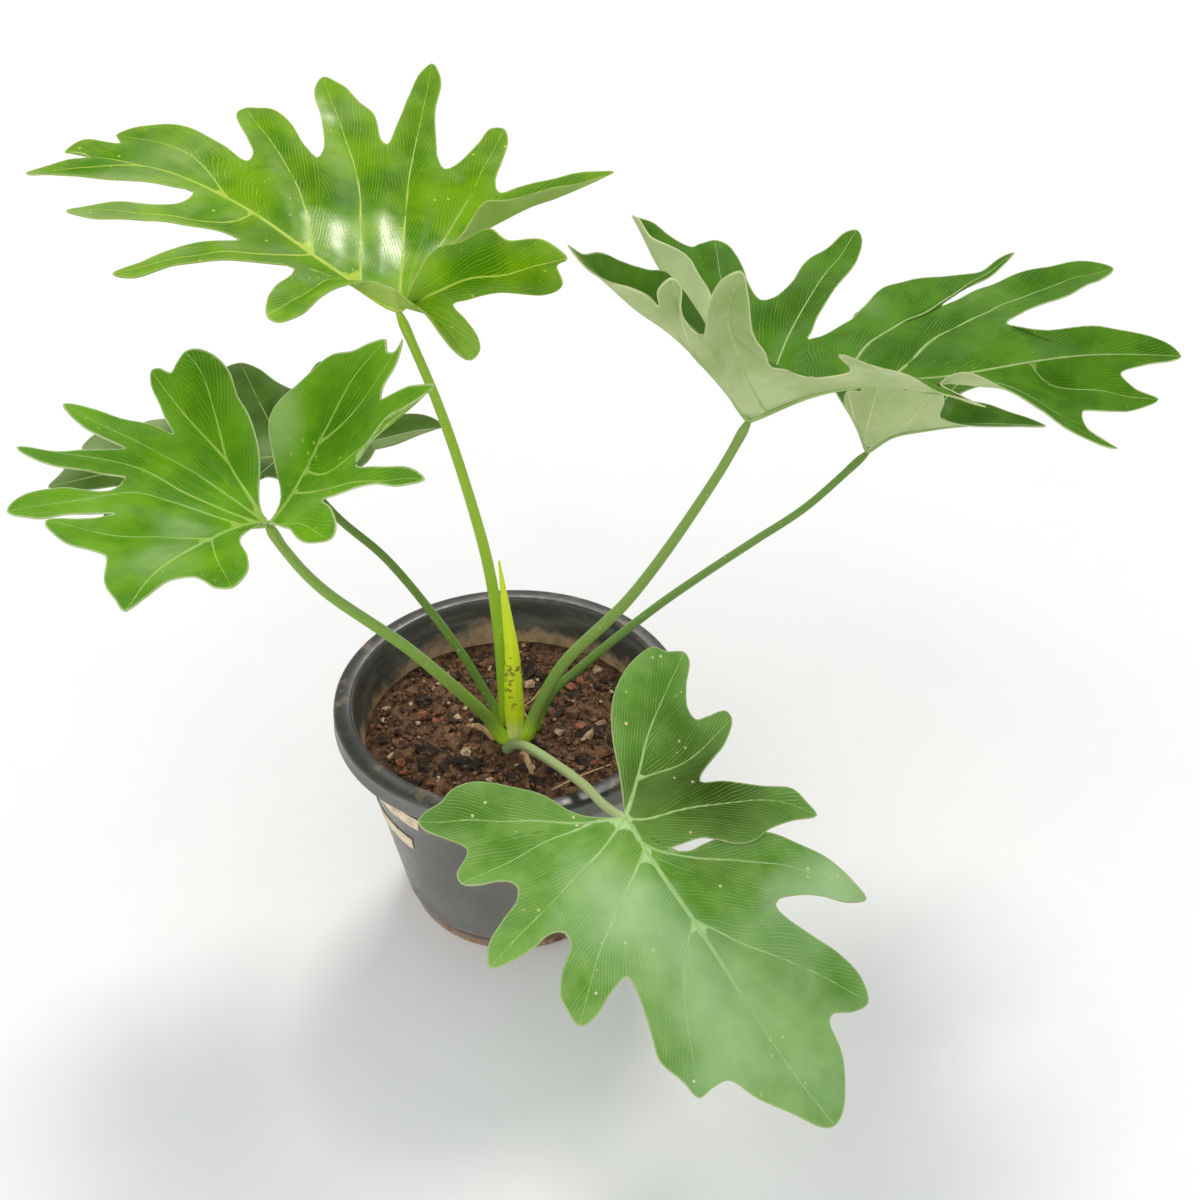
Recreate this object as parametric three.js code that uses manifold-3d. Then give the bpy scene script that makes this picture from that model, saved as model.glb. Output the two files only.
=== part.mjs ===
// Potted lacy tree philodendron in a black nursery pot.
// Units are mm. The pot's axis is Z, its base lies on Z = 0, and the viewer stands on the -Y side.
import * as THREE from "three";
import { mergeVertices } from "three/addons/utils/BufferGeometryUtils.js";
import Module from "manifold-3d";

// Driving dimensions of the pot and the soil.
const POT = {
  height: 181,
  rimRadius: 125,
  rimBandHeight: 15,
  rimInnerRadius: 110.5,
  baseRadius: 80,
  bodyFoot: 82,
  bodyTop: 114,
  wall: 2.6,
  floor: 3,
  stepHeight: 17,
  stepWidth: 2,
  sides: 44,
};
const DRAIN = { count: 5, radius: 6, ringRadius: 58 };
const SOIL = { bottom: 3.4, level: 145, sag: 1.5, sectors: 36, rings: 7, clodHeight: 4 };
const CROWN = { centre: [2, -7], radius: 27, bottom: 120, top: 146.7 };
const GAP = 0.35;

// Blade thickness, how far the ribs stand out below the blade, and the rows of its mesh.
const BLADE = { thickness: 1.1, midrib: 2.4, vein: 1.1, seamRows: 2, maxRows: 7, foldRadius: 15 };

// The blank label's strips: azimuths in degrees, heights, and how far the right end slants back.
const LABEL = { thickness: 0.5 };
const LABEL_STRIPS = [
  { name: "label_upper", from: -176, to: -127.5, top: 143, bottom: 130, slant: 1.5 },
  { name: "label_lower", from: -178, to: -135, top: 112, bottom: 99.5, slant: 1 },
];

// Colours of the parts as sRGB hex values, each with its roughness.
const LOOK = {
  pot: [0x23262b, 0.45],
  soil: [0x4a2f22, 0.95],
  crown: [0x9bb03a, 0.6],
  label: [0xd9c3a5, 0.7],
  spear: [0xb5cf3e, 0.45],
};

// The leaves. A blade's junction with its stalk is in the pot's frame; heading is the midrib's direction in
// degrees from +X, counter-clockwise from above. Points on a blade are [along, across, lift]: mm along the
// midrib from the junction, mm to its left, and mm above the blade's bent surface. A lobe starts at a root on
// the rib, a share of the midrib's length, or, below 0, of the hind rib's. Its outline runs from the notch
// before it by `fore` to its tip and by `back` to its own notch; the hindmost lobe ends at the junction.
const LEAVES = [
  {
    name: "leaf_a",
    colour: 0x7fb52a,
    junction: [-56, 0, 482],
    heading: 146,
    bend: { rise: 0.34, arch: -0.0007, back: 0, backArch: 0.0008,
            left: -0.05, leftCurl: 0, right: 0.12, rightCurl: 0.0009 },
    midrib: [[63, -8], [141, -22], [215, -24], [248, -7], [272, 3, -3], [298, 0, -9]],
    right: {
      hindRib: [2, -30],
      tipMargin: [[276, -3, -2], [266, -10]],
      tipNotch: [259, -20],
      lobes: [
        { root: 0.7, fore: [[268, -22]], tip: [279, -19], back: [[276, -33], [260, -38]], notch: [249, -40] },
        { root: 0.47, fore: [[254, -44]], tip: [259, -48], back: [[239, -65], [213, -70], [181, -64]],
          notch: [157, -59], vein: [[195, -48]] },
        { root: 0.22, fore: [[158, -66], [170, -76], [195, -96]], tip: [194, -104],
          back: [[186, -107], [176, -109], [153, -101], [133, -89]], notch: [119, -83],
          vein: [[96, -39], [125, -63]] },
        { root: 0.1, fore: [[121, -92], [140, -116], [160, -136]], tip: [162, -149],
          back: [[143, -146], [125, -138], [110, -134], [93, -118]], notch: [88, -117],
          vein: [[61, -48], [87, -82]] },
        { root: 0, fore: [[92, -136], [98, -156], [103, -178]], tip: [100, -189],
          back: [[91, -184], [85, -177], [78, -159], [63, -137], [53, -124]], notch: [45, -119],
          vein: [[40, -65], [65, -110]] },
        { root: -0.5, fore: [[40, -127], [38, -149], [38, -163]], tip: [31, -169],
          back: [[24, -163], [18, -146], [12, -128]], notch: [5, -122], vein: [[13, -63], [21, -111]] },
        { root: -1, fore: [[-5, -129], [-18, -140], [-40, -154]], tip: [-58, -158],
          back: [[-36, -120, 12], [-18, -92, 20], [-8, -85, 22], [-5, -63, 14], [1, -46, 6]],
          vein: [[1, -79], [-20, -124, -3]] },
      ],
    },
    left: {
      hindRib: [2, -16, -4],
      tipMargin: [[251, 13], [213, -2], [180, -12]],
      tipNotch: [166, -15],
      lobes: [
        { root: 0.4, fore: [[162, 2], [195, 26]], tip: [214, 46], back: [[193, 47], [176, 35], [147, 21]],
          notch: [108, 11], vein: [[128, 1], [169, 21]] },
        { root: 0.22, fore: [[111, 17], [127, 34], [136, 65]], tip: [140, 86],
          back: [[127, 83], [119, 58], [87, 23]], notch: [68, 11], vein: [[82, 6], [116, 38]] },
        { root: 0.07, fore: [[63, 34], [59, 47]], tip: [52, 57],
          back: [[40, 60, 2], [33, 49, 5], [32, 32, 7], [27, 14, 9], [16, 2, 12]], notch: [-1, 4, 14],
          vein: [[45, 2], [48, 31]] },
        { root: -0.5, fore: [[-7, -1, 6], [-12, -11, -6], [-21, -12, -18], [-29, -15, -30]],
          tip: [-35, -22, -38], back: [[-39, -27, -34], [-36, -30, -28], [-27, -31, -18]],
          notch: [-19, -30, -8], vein: [[-13, -19, -12]] },
        { root: -1, fore: [[-28, -34, -6], [-48, -38], [-75, -45, -4], [-88, -44, 4], [-87, -40, 20]],
          tip: [-97, -35, 30],
          back: [[-76, -41, 34], [-55, -38, 34], [-36, -47, 34], [-16, -45, 24], [2, -41, 14]],
          vein: [[-24, -32, 8], [-59, -37, 16]] },
      ],
    },
  },
  {
    name: "leaf_b",
    colour: 0x4f8a35,
    junction: [-134, -100, 400],
    heading: 222,
    bend: { rise: 0.1, arch: 0, back: 0.5, backArch: 0.004,
            left: 0.35, leftCurl: 0, right: 0.1, rightCurl: 0.001 },
    midrib: [[12, -7], [36, -7], [78, 4], [114, 36]],
    right: {
      hindRib: [-16, -60],
      tipMargin: [[109, 16], [103, -4]],
      tipNotch: [90, -23],
      lobes: [
        { root: 0.28, fore: [[92, -29], [101, -45]], tip: [99, -67], back: [[84, -61], [73, -56]],
          notch: [65, -53], vein: [[60, -27]] },
        { root: 0.1, fore: [[71, -58], [82, -64], [105, -72]], tip: [112, -83],
          back: [[95, -89], [77, -85], [53, -73]], notch: [42, -77], vein: [[23, -32], [45, -64]] },
        { root: 0.03, fore: [[53, -88], [71, -100], [78, -110]], tip: [80, -124],
          back: [[66, -115], [49, -109], [35, -101]], notch: [28, -97], vein: [[19, -47], [35, -90]] },
        { root: 0, fore: [[33, -108], [38, -122]], tip: [37, -144], back: [[23, -132], [14, -120], [2, -106]],
          notch: [-3, -94], vein: [[3, -51], [14, -90]] },
        { root: -0.9, fore: [[-7, -107], [-11, -118], [-15, -131]], tip: [-21, -138], back: [[-25, -135]],
          notch: [-28, -126], vein: [[-17, -97]] },
        { root: -1, fore: [[-33, -127]], tip: [-40, -127],
          back: [[-47, -113], [-48, -94], [-41, -77], [-38, -63], [-32, -49], [-25, -38], [-8, -18]],
          vein: [[-28, -84], [-38, -108]] },
      ],
    },
    left: {
      hindRib: [-50, -10],
      tipMargin: [[99, 30], [79, 24]],
      tipNotch: [71, 31],
      lobes: [
        { root: 0.28, fore: [[71, 42], [73, 60]], tip: [68, 65],
          back: [[52, 56], [37, 34], [22, 5], [11, -1]],
          notch: [1, 4, 3], vein: [[44, 13]] },
        { root: 0, fore: [[-2, 9], [-1, 19], [5, 36], [6, 51]], tip: [-3, 56], back: [[-11, 51], [-21, 34]],
          notch: [-25, 21], vein: [[-8, 21]] },
        { root: -0.45, fore: [[-30, 32], [-39, 53], [-38, 76]], tip: [-43, 92], back: [[-48, 70], [-47, 46]],
          notch: [-45, 30], vein: [[-33, 22], [-40, 49]] },
        { root: -0.7, fore: [[-51, 24], [-59, 27], [-67, 31], [-74, 42]], tip: [-84, 57],
          back: [[-82, 39], [-76, 26]], notch: [-74, 20], vein: [[-38, 7], [-52, 21]] },
        { root: -0.95, fore: [[-80, 16], [-89, 17]], tip: [-100, 11], back: [[-96, 11]], notch: [-94, 4],
          vein: [[-72, 4]] },
        { root: -1, fore: [[-96, 1]], tip: [-98, -2],
          back: [[-94, -11], [-87, -20], [-80, -33], [-65, -44], [-49, -51], [-42, -49], [-33, -36],
                 [-26, -24], [-16, -8]],
          vein: [[-80, -10]] },
      ],
    },
  },
  {
    name: "leaf_c",
    colour: 0x2f5f2a,
    junction: [-145, 75, 338],
    heading: 188,
    bend: { rise: -0.05, arch: -0.0003, back: 0, backArch: 0.0008,
            left: 0.02, leftCurl: 0, right: 0.15, rightCurl: 0.0004 },
    midrib: [[38, 0, 2], [91, 0, 9], [123, 0, 11], [158, 0, 11]],
    right: {
      hindRib: [-23, -12, 2],
      tipMargin: [[150, -4, 15], [139, -8, 20]],
      tipNotch: [127, -12, 10],
      lobes: [
        { root: 0.45, fore: [[135, -35, 5]], tip: [138, -52], back: [[129, -59], [115, -59]],
          notch: [102, -50] },
        { root: 0.2, fore: [[98, -59]], tip: [82, -62], back: [[70, -57]], notch: [56, -65] },
        { root: 0, fore: [[46, -89], [36, -104]], tip: [25, -108], back: [[12, -95], [0, -80]],
          notch: [-12, -72] },
        { root: -0.5, fore: [[-17, -76], [-22, -85]], tip: [-32, -97], back: [[-44, -84]],
          notch: [-46, -58] },
        { root: -1, fore: [[-50, -52]], tip: [-48, -44], back: [[-34, -26], [-15, -9]] },
      ],
    },
    left: {
      hindRib: [-22, 10, -4],
      tipMargin: [[144, 4, 6], [128, 8, 5]],
      tipNotch: [111, 12, 5],
      lobes: [
        { root: 0.45, fore: [[118, 27, 3]], tip: [120, 55], back: [[98, 49]], notch: [82, 30] },
        { root: 0.2, fore: [[82, 61]], tip: [77, 87], back: [[59, 82]], notch: [49, 42] },
        { root: 0.02, fore: [[50, 61]], tip: [45, 78], back: [[31, 55]], notch: [16, 25] },
        { root: -0.5, fore: [[-6, 46], [-26, 46], [-44, 34]], tip: [-55, 20], back: [[-60, 10]],
          notch: [-59, 0] },
        { root: -1, fore: [[-72, -4], [-91, -3]], tip: [-109, -1],
          back: [[-97, -17], [-82, -22], [-58, -16], [-30, -3]] },
      ],
    },
  },
  {
    name: "leaf_d",
    colour: 0x3f7a38,
    junction: [152, -40, 421],
    heading: 15,
    bend: { rise: 0.06, arch: -0.0004, back: 0.2, backArch: 0.002,
            left: 0.15, leftCurl: 0.0008, right: 0.25, rightCurl: 0.002 },
    midrib: [[43, 0, 9], [88, 0, 8], [135, 0, 5], [232, 0, 11], [312, 0, 9]],
    right: {
      hindRib: [-24, -12, 30],
      tipMargin: [[303, -4, 7], [277, -8, 4]],
      tipNotch: [257, -12, -1],
      lobes: [
        { root: 0.62, fore: [[262, -21, -7]], tip: [276, -30, -14], back: [[252, -34, -21], [235, -38, -21]],
          notch: [210, -42, -20], vein: [[205, -10, -4], [237, -20, -8]] },
        { root: 0.45, fore: [[203, -58, -26]], tip: [215, -75, -39],
          back: [[203, -70, -36], [180, -66, -25], [163, -61, -11], [144, -56, 4], [115, -47, 19]],
          notch: [104, -42, 14], vein: [[165, -25, 2], [195, -50, -20]] },
        { root: 0.3, fore: [[110, -55, 7]], tip: [120, -68],
          back: [[92, -61, 11], [72, -54, 27], [52, -47, 37], [35, -40, 45], [48, -33, 31]],
          notch: [29, -26, 29], vein: [[103, -34, 8]] },
        { root: 0.04, fore: [[6, -31, 40], [-6, -37, 44], [-12, -42, 53], [-23, -48, 65], [-31, -55, 90]],
          tip: [-40, -64, 103], back: [[-49, -61, 95], [-53, -58, 85], [-54, -54, 75]],
          notch: [-53, -48, 61], vein: [[-21, -21, 55], [-37, -43, 81]] },
        { root: -0.6, fore: [[-62, -52, 63], [-69, -55, 71], [-71, -58, 87]], tip: [-78, -62, 90],
          back: [[-84, -57, 78]], notch: [-81, -52, 71], vein: [[-55, -35, 55]] },
        { root: -1, fore: [[-86, -52, 74], [-96, -51, 75], [-109, -51, 74], [-121, -50, 76]],
          tip: [-130, -50, 82],
          back: [[-119, -42, 83], [-107, -35, 88], [-94, -30, 89], [-77, -26, 89], [-64, -20, 91],
                 [-38, -8, 68]],
          vein: [[-56, -32, 53], [-99, -44, 70]] },
      ],
    },
    left: {
      hindRib: [9, 28, 4],
      tipMargin: [[309, 6, 12], [288, 12, 17], [262, 18, 18], [231, 24, 15], [207, 30, 12]],
      tipNotch: [198, 36, 11],
      lobes: [
        { root: 0.3, fore: [[221, 52, 8], [274, 74, 5], [311, 94, 3]], tip: [330, 110],
          back: [[316, 115], [273, 106], [239, 99], [207, 88]], notch: [172, 76],
          vein: [[151, 41, 5], [261, 85, 3]] },
        { root: 0.2, fore: [[192, 88], [222, 101]], tip: [254, 122],
          back: [[239, 118], [213, 105], [182, 100], [158, 100], [136, 94], [113, 79], [101, 70]],
          notch: [67, 60], vein: [[98, 40, 6], [159, 70, 3]] },
        { root: 0.03, fore: [[74, 69], [81, 78], [99, 95], [124, 116], [142, 138]], tip: [144, 150],
          back: [[134, 148], [113, 136], [92, 125], [77, 111], [60, 100]], notch: [50, 100],
          vein: [[62, 74, 2], [128, 135, 1]] },
        { root: -0.7, fore: [[48, 113], [50, 130], [48, 153]], tip: [42, 160], back: [[30, 157]],
          notch: [23, 154], vein: [[30, 116, 1]] },
        { root: -1, fore: [[12, 165], [4, 180]], tip: [-6, 190],
          back: [[-9, 169, 12], [-8, 150, 16], [-1, 136, 20], [8, 122, 22], [10, 110, 20], [13, 96, 16],
                 [5, 72, 8]],
          vein: [[5, 93, 3], [-4, 141, 1]] },
      ],
    },
  },
  {
    name: "leaf_e",
    colour: 0x56804a,
    junction: [255, 60, 333],
    heading: 25,
    bend: { rise: 0.05, arch: -0.0003, back: 0.1, backArch: 0.002,
            left: 0.15, leftCurl: 0.0008, right: 0.5, rightCurl: 0.004 },
    midrib: [[18, 0, 6], [49, 0, 2], [96, 0, -8], [168, 0, -28]],
    right: {
      hindRib: [-18, -8, 27],
      tipMargin: [[139, -3, -20], [87, -5, -5]],
      tipNotch: [55, -8, 11],
      lobes: [
        { root: 0.15, fore: [[43, -22, 28]], tip: [22, -36, 46], back: [[12, -34, 50]],
          notch: [-2, -32, 48] },
        { root: -0.5, fore: [[-11, -35, 55]], tip: [-30, -38, 59], back: [[-36, -34, 60]],
          notch: [-37, -30, 54] },
        { root: -1, fore: [[-43, -31, 55]], tip: [-49, -32, 55], back: [[-45, -24, 50], [-20, -10, 27]] },
      ],
    },
    left: {
      hindRib: [4, 16, 5],
      tipMargin: [[156, 5, -22], [139, 10, -16], [123, 15, -10]],
      tipNotch: [93, 20, 1],
      lobes: [
        { root: 0.3, fore: [[130, 25, 1], [174, 32]], tip: [197, 40], back: [[186, 50], [139, 60]],
          notch: [103, 64] },
        { root: 0.05, fore: [[119, 84]], tip: [125, 99], back: [[109, 96]], notch: [81, 90] },
        { root: -0.5, fore: [[84, 111]], tip: [82, 125], back: [[68, 117]], notch: [49, 96] },
        { root: -1, fore: [[43, 101]], tip: [26, 103], back: [[16, 82], [16, 58], [10, 29]] },
      ],
    },
  },
  {
    name: "leaf_f",
    colour: 0x6f9a63,
    junction: [68, -166, 215],
    heading: -55,
    bend: { rise: -0.5, arch: -0.0006, back: 0.5, backArch: 0,
            left: 0.05, leftCurl: 0, right: 0.05, rightCurl: 0 },
    midrib: [[25, -4], [75, -4], [125, -4], [160, -2], [189, 3]],
    right: {
      hindRib: [-11, -23],
      tipMargin: [[186, -6], [173, -19], [159, -32]],
      tipNotch: [145, -42],
      lobes: [
        { root: 0.36, fore: [[143, -53]], tip: [142, -64],
          back: [[134, -67], [120, -74], [108, -70], [89, -62]], notch: [77, -63], vein: [[91, -31]] },
        { root: 0.12, fore: [[79, -76], [85, -93]], tip: [84, -104],
          back: [[74, -106], [68, -105], [57, -94], [49, -82]], notch: [42, -81],
          vein: [[36, -27], [55, -63]] },
        { root: 0, fore: [[39, -89], [41, -103], [41, -116]], tip: [37, -131],
          back: [[27, -124], [20, -109], [14, -94]], notch: [7, -89], vein: [[12, -30], [21, -67]] },
        { root: -0.8, fore: [[-1, -94], [-6, -106]], tip: [-13, -114], back: [[-19, -113]],
          notch: [-28, -99], vein: [[-11, -59]] },
        { root: -1, fore: [[-39, -106], [-50, -114]], tip: [-56, -114],
          back: [[-59, -107], [-59, -95], [-61, -87], [-60, -76], [-55, -61], [-47, -49], [-36, -37],
                 [-20, -26]],
          vein: [[-31, -62]] },
      ],
    },
    left: {
      hindRib: [-22, 30],
      tipMargin: [[186, 13], [172, 27], [163, 32]],
      tipNotch: [150, 35],
      lobes: [
        { root: 0.36, fore: [[148, 40], [153, 54]], tip: [153, 66],
          back: [[141, 70], [126, 66], [111, 57], [95, 48]], notch: [88, 47], vein: [[101, 23], [129, 49]] },
        { root: 0.1, fore: [[86, 52], [89, 62], [98, 78], [108, 93]], tip: [111, 105],
          back: [[100, 105], [85, 96], [69, 85], [60, 75], [58, 64], [51, 46]], notch: [40, 31],
          vein: [[62, 55]] },
        { root: 0, fore: [[47, 50], [54, 67], [53, 78], [55, 94]], tip: [60, 109],
          back: [[51, 108], [41, 105], [29, 88], [16, 69]], notch: [8, 55], vein: [[23, 51]] },
        { root: -0.8, fore: [[-1, 72], [-7, 90]], tip: [-18, 106], back: [[-24, 106], [-27, 92]],
          notch: [-29, 84], vein: [[-12, 60]] },
        { root: -1, fore: [[-37, 84], [-49, 93], [-63, 108]], tip: [-70, 109],
          back: [[-76, 97], [-81, 92], [-80, 76], [-73, 56], [-61, 39], [-42, 25], [-25, 16]],
          vein: [[-37, 50]] },
      ],
    },
  },
];

// The stalks. A route leads from the crown up towards the blade's seat, where the stalk ends. Radii are at
// the foot, at the waist just above it and at the head.
const STALKS = [
  { name: "stalk_a", colour: 0x93c22c, foot: 5.2, waist: 4.4, head: 2.7,
    route: [[-3, 3, 147], [-4, 3, 182], [-6, 2, 244], [-11, 1, 296], [-26, 1, 374], [-38, 0, 423],
            [-50, 0, 462]] },
  { name: "stalk_b", colour: 0x7fa04c, foot: 7.2, waist: 5.0, head: 3.4,
    route: [[-14, -11, 147], [-18, -16, 166], [-26, -23, 192], [-64, -47, 261], [-112, -77, 336],
            [-128, -92, 376]] },
  { name: "stalk_c", colour: 0x5f8140, foot: 3.8, waist: 3.2, head: 2.8,
    route: [[-11, 12, 147], [-17, 15, 166], [-37, 24, 208], [-81, 46, 268], [-115, 60, 298]] },
  { name: "stalk_d", colour: 0x6d9241, foot: 6.4, waist: 4.8, head: 3.5,
    route: [[18, -8, 147], [20, -10, 168], [37, -14, 214], [84, -23, 279], [134, -34, 375]] },
  { name: "stalk_e", colour: 0x5c8136, foot: 4.2, waist: 3.7, head: 3.2,
    route: [[17, 7, 147], [30, 11, 170], [55, 15, 192], [104, 24, 231], [178, 41, 281]] },
  { name: "stalk_f", colour: 0x86a463, foot: 5.2, waist: 4.0, head: 3.1,
    route: [[0, -27, 147], [5, -35, 160], [18, -57, 173], [46, -114, 195], [56, -139, 202]] },
];
const STALK = { sides: 8, steps: 14, footShare: 0.12 };

// The sheath that wraps the next leaf: its centre line and its half widths.
const SPEAR = {
  route: [[3, -13, 147], [3, -12, 172], [3, -11, 199], [3, -10, 225], [1, -8, 251], [-1, -7, 276],
          [-3, -6, 300]],
  radii: [5.4, 7.2, 6.6, 5.2, 3.8, 2.3, 0.7],
  flatten: 0.8,
};

// Surface roots beside the crown and the dry twig on the soil, each a bent tapered rod.
const ROOTS = [
  { radius: 3.2, route: [[9, -39, 146], [12, -46, 150], [15, -55, 145]] },
  { radius: 2.4, route: [[24, -33, 145], [27, -37, 149], [30, -44, 144]] },
  { radius: 2.0, route: [[-20, -32, 145], [-24, -37, 149], [-29, -42, 144]] },
];
const TWIGS = [
  { radius: 1.1, route: [[26, -67, 147], [45, -57, 149], [69, -44, 147]] },
];

const wasm = await Module();
wasm.setup();

const { degToRad, clamp, lerp, smoothstep } = THREE.MathUtils;
const UP = new THREE.Vector3(0, 0, 1);
const point = ([x, y, z = 0]) => new THREE.Vector3(x, y, z);
const curveThrough = (points) => new THREE.CatmullRomCurve3(points, false, "centripetal");
const potOuter = (z) => lerp(POT.bodyFoot, POT.bodyTop, z / POT.height);
const potInner = (z) => potOuter(z) - POT.wall;

// A generator of repeatable numbers from 0 to 1.
function seeded(seed) {
  let state = seed;
  return () => {
    state = (state * 1664525 + 1013904223) % 4294967296;
    return state / 4294967296;
  };
}

// A geometry from points and triangles of point numbers.
function geometryOf(points, faces) {
  const geometry = new THREE.BufferGeometry();
  const values = points.flatMap((p) => [p.x, p.y, p.z]);
  geometry.setAttribute("position", new THREE.Float32BufferAttribute(values, 3));
  geometry.setIndex(faces.flat());
  geometry.computeVertexNormals();
  return geometry;
}

// A closed geometry as a solid that can be cut and joined.
function solidOf(geometry) {
  const merged = geometry.clone();
  merged.deleteAttribute("normal");
  merged.deleteAttribute("uv");
  const welded = mergeVertices(merged, 1e-4);
  return new wasm.Manifold(new wasm.Mesh({
    numProp: 3,
    vertProperties: new Float32Array(welded.attributes.position.array),
    triVerts: new Uint32Array(welded.index.array),
  }));
}

function geometryFrom(solid) {
  const mesh = solid.getMesh();
  const geometry = new THREE.BufferGeometry();
  geometry.setAttribute("position", new THREE.BufferAttribute(mesh.vertProperties, 3));
  geometry.setIndex(new THREE.BufferAttribute(mesh.triVerts, 1));
  geometry.computeVertexNormals();
  return geometry;
}

// A closed skin over rings of equal point counts, its first and last rings closed by a fan.
function skinOver(rings) {
  const count = rings[0].length;
  const points = rings.flat();
  const faces = [];
  for (let ring = 0; ring + 1 < rings.length; ring += 1) {
    for (let i = 0; i < count; i += 1) {
      const next = (i + 1) % count;
      const [a, b] = [ring * count + i, ring * count + next];
      faces.push([a, b, b + count], [a, b + count, a + count]);
    }
  }
  const middle = (ring) => ring.reduce((sum, p) => sum.add(p), new THREE.Vector3()).divideScalar(count);
  const [foot, head] = [points.length, points.length + 1];
  const last = (rings.length - 1) * count;
  points.push(middle(rings[0]), middle(rings.at(-1)));
  for (let i = 0; i < count; i += 1) {
    const next = (i + 1) % count;
    faces.push([foot, next, i], [head, last + i, last + next]);
  }
  return geometryOf(points, faces);
}

// A rod along a smooth route. Its foot and its head are cut square to the route, or along a given plane.
function rod({ route, radiusAt, sides, steps, footNormal, headNormal, flatten = 1 }) {
  const curve = curveThrough(route.map(point));
  const frames = curve.computeFrenetFrames(steps, false);
  const rings = [];
  for (let step = 0; step <= steps; step += 1) {
    const share = step / steps;
    const centre = curve.getPointAt(share);
    const ring = [];
    for (let i = 0; i < sides; i += 1) {
      const turn = (2 * Math.PI * i) / sides;
      const p = centre.clone();
      p.addScaledVector(frames.normals[step], Math.cos(turn) * radiusAt(share));
      p.addScaledVector(frames.binormals[step], Math.sin(turn) * radiusAt(share) * flatten);
      const normal = { 0: footNormal, [steps]: headNormal }[step];
      if (normal) {
        const tangent = frames.tangents[step];
        p.addScaledVector(tangent, centre.clone().sub(p).dot(normal) / tangent.dot(normal));
      }
      ring.push(p);
    }
    rings.push(ring);
  }
  return skinOver(rings);
}

// The pot: a turned wall and base with a rolled rim that is open below, less the drain holes.
function potGeometry() {
  const { height, rimRadius, rimBandHeight, baseRadius, wall, stepHeight, sides } = POT;
  const under = height - wall;
  const skirt = height - rimBandHeight;
  const profile = [
    [0, 0], [baseRadius, 0], [potOuter(stepHeight) - POT.stepWidth, stepHeight - 1],
    [potOuter(stepHeight), stepHeight], [potOuter(under), under], [rimRadius - wall - 1, under],
    [rimRadius - wall, under - 1.5], [rimRadius - wall, skirt], [rimRadius - 0.6, skirt],
    [rimRadius, skirt + 1], [rimRadius, height - 3], [rimRadius - 0.9, height - 0.9], [rimRadius - 3, height],
    [POT.rimInnerRadius + 1, height], [POT.rimInnerRadius, height - 1.2], [potInner(height - 8), height - 8],
    [potInner(POT.floor), POT.floor], [0, POT.floor],
  ];
  const turned = new THREE.LatheGeometry(profile.map(([r, z]) => new THREE.Vector2(r, z)), sides);
  turned.rotateX(Math.PI / 2);
  let solid = solidOf(turned);
  for (let i = 0; i < DRAIN.count; i += 1) {
    const hole = new THREE.CylinderGeometry(DRAIN.radius, DRAIN.radius, 4 * POT.floor, 12);
    hole.rotateX(Math.PI / 2);
    const turn = (2 * Math.PI * i) / DRAIN.count;
    hole.translate(DRAIN.ringRadius * Math.cos(turn), DRAIN.ringRadius * Math.sin(turn), 0);
    solid = solid.subtract(solidOf(hole));
  }
  return geometryFrom(solid);
}

// The soil: a clodded top between the crown's hole and the wall, with the surface roots and the twig on it.
function soilGeometry() {
  const random = seeded(7);
  const [centreX, centreY] = CROWN.centre;
  const rings = [];
  const circle = (x, y, radius, z) => Array.from({ length: SOIL.sectors }, (_, i) => {
    const turn = (2 * Math.PI * i) / SOIL.sectors;
    return new THREE.Vector3(x + radius * Math.cos(turn), y + radius * Math.sin(turn), z);
  });
  rings.push(circle(0, 0, potInner(SOIL.bottom) - GAP, SOIL.bottom));
  const inner = circle(centreX, centreY, CROWN.radius + GAP, SOIL.level + 0.8);
  for (let ring = SOIL.rings; ring >= 1; ring -= 1) {
    const share = ring / SOIL.rings;
    rings.push(inner.map((start, i) => {
      const lift = ring === SOIL.rings ? 0 : SOIL.clodHeight * random() ** 1.5;
      const z = SOIL.level - SOIL.sag * share + lift;
      const turn = (2 * Math.PI * i) / SOIL.sectors;
      const radius = potInner(z) - GAP;
      return new THREE.Vector3(
        lerp(start.x, radius * Math.cos(turn), share),
        lerp(start.y, radius * Math.sin(turn), share),
        z,
      );
    }));
  }
  rings.push(inner);
  rings.push(circle(centreX, centreY, CROWN.radius + GAP, CROWN.bottom - GAP));
  let solid = solidOf(skinOver(rings));
  for (const { radius, route } of [...ROOTS, ...TWIGS]) {
    const radiusAt = (share) => radius * (1 - 0.5 * share);
    solid = solid.add(solidOf(rod({ route, radiusAt, sides: 8, steps: 6 })));
  }
  return geometryFrom(solid);
}

// The crown: a low round stump that fills its hole in the soil.
function crownGeometry() {
  const { radius, bottom, top } = CROWN;
  const profile = [[0, bottom], [radius * 0.8, bottom], [radius, bottom + 14], [radius, top - 0.8],
    [radius - 0.8, top], [0, top]];
  const geometry = new THREE.LatheGeometry(profile.map(([r, z]) => new THREE.Vector2(r, z)), 20);
  geometry.rotateX(Math.PI / 2);
  geometry.translate(...CROWN.centre, 0);
  return geometryFrom(solidOf(geometry));
}

// A strip of the label, bent around the pot's wall.
function labelGeometry({ from, to, top, bottom, slant }) {
  const steps = 10;
  const rings = [];
  for (let step = 0; step <= steps; step += 1) {
    const share = step / steps;
    const corner = (z, lift) => {
      const turn = degToRad(lerp(from, to - slant * (z === top ? 0 : 1), share));
      const radius = potOuter(z) + GAP + lift;
      return new THREE.Vector3(radius * Math.cos(turn), radius * Math.sin(turn), z);
    };
    const { thickness } = LABEL;
    rings.push([corner(bottom, 0), corner(top, 0), corner(top, thickness), corner(bottom, thickness)]);
  }
  return skinOver(rings);
}

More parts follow.
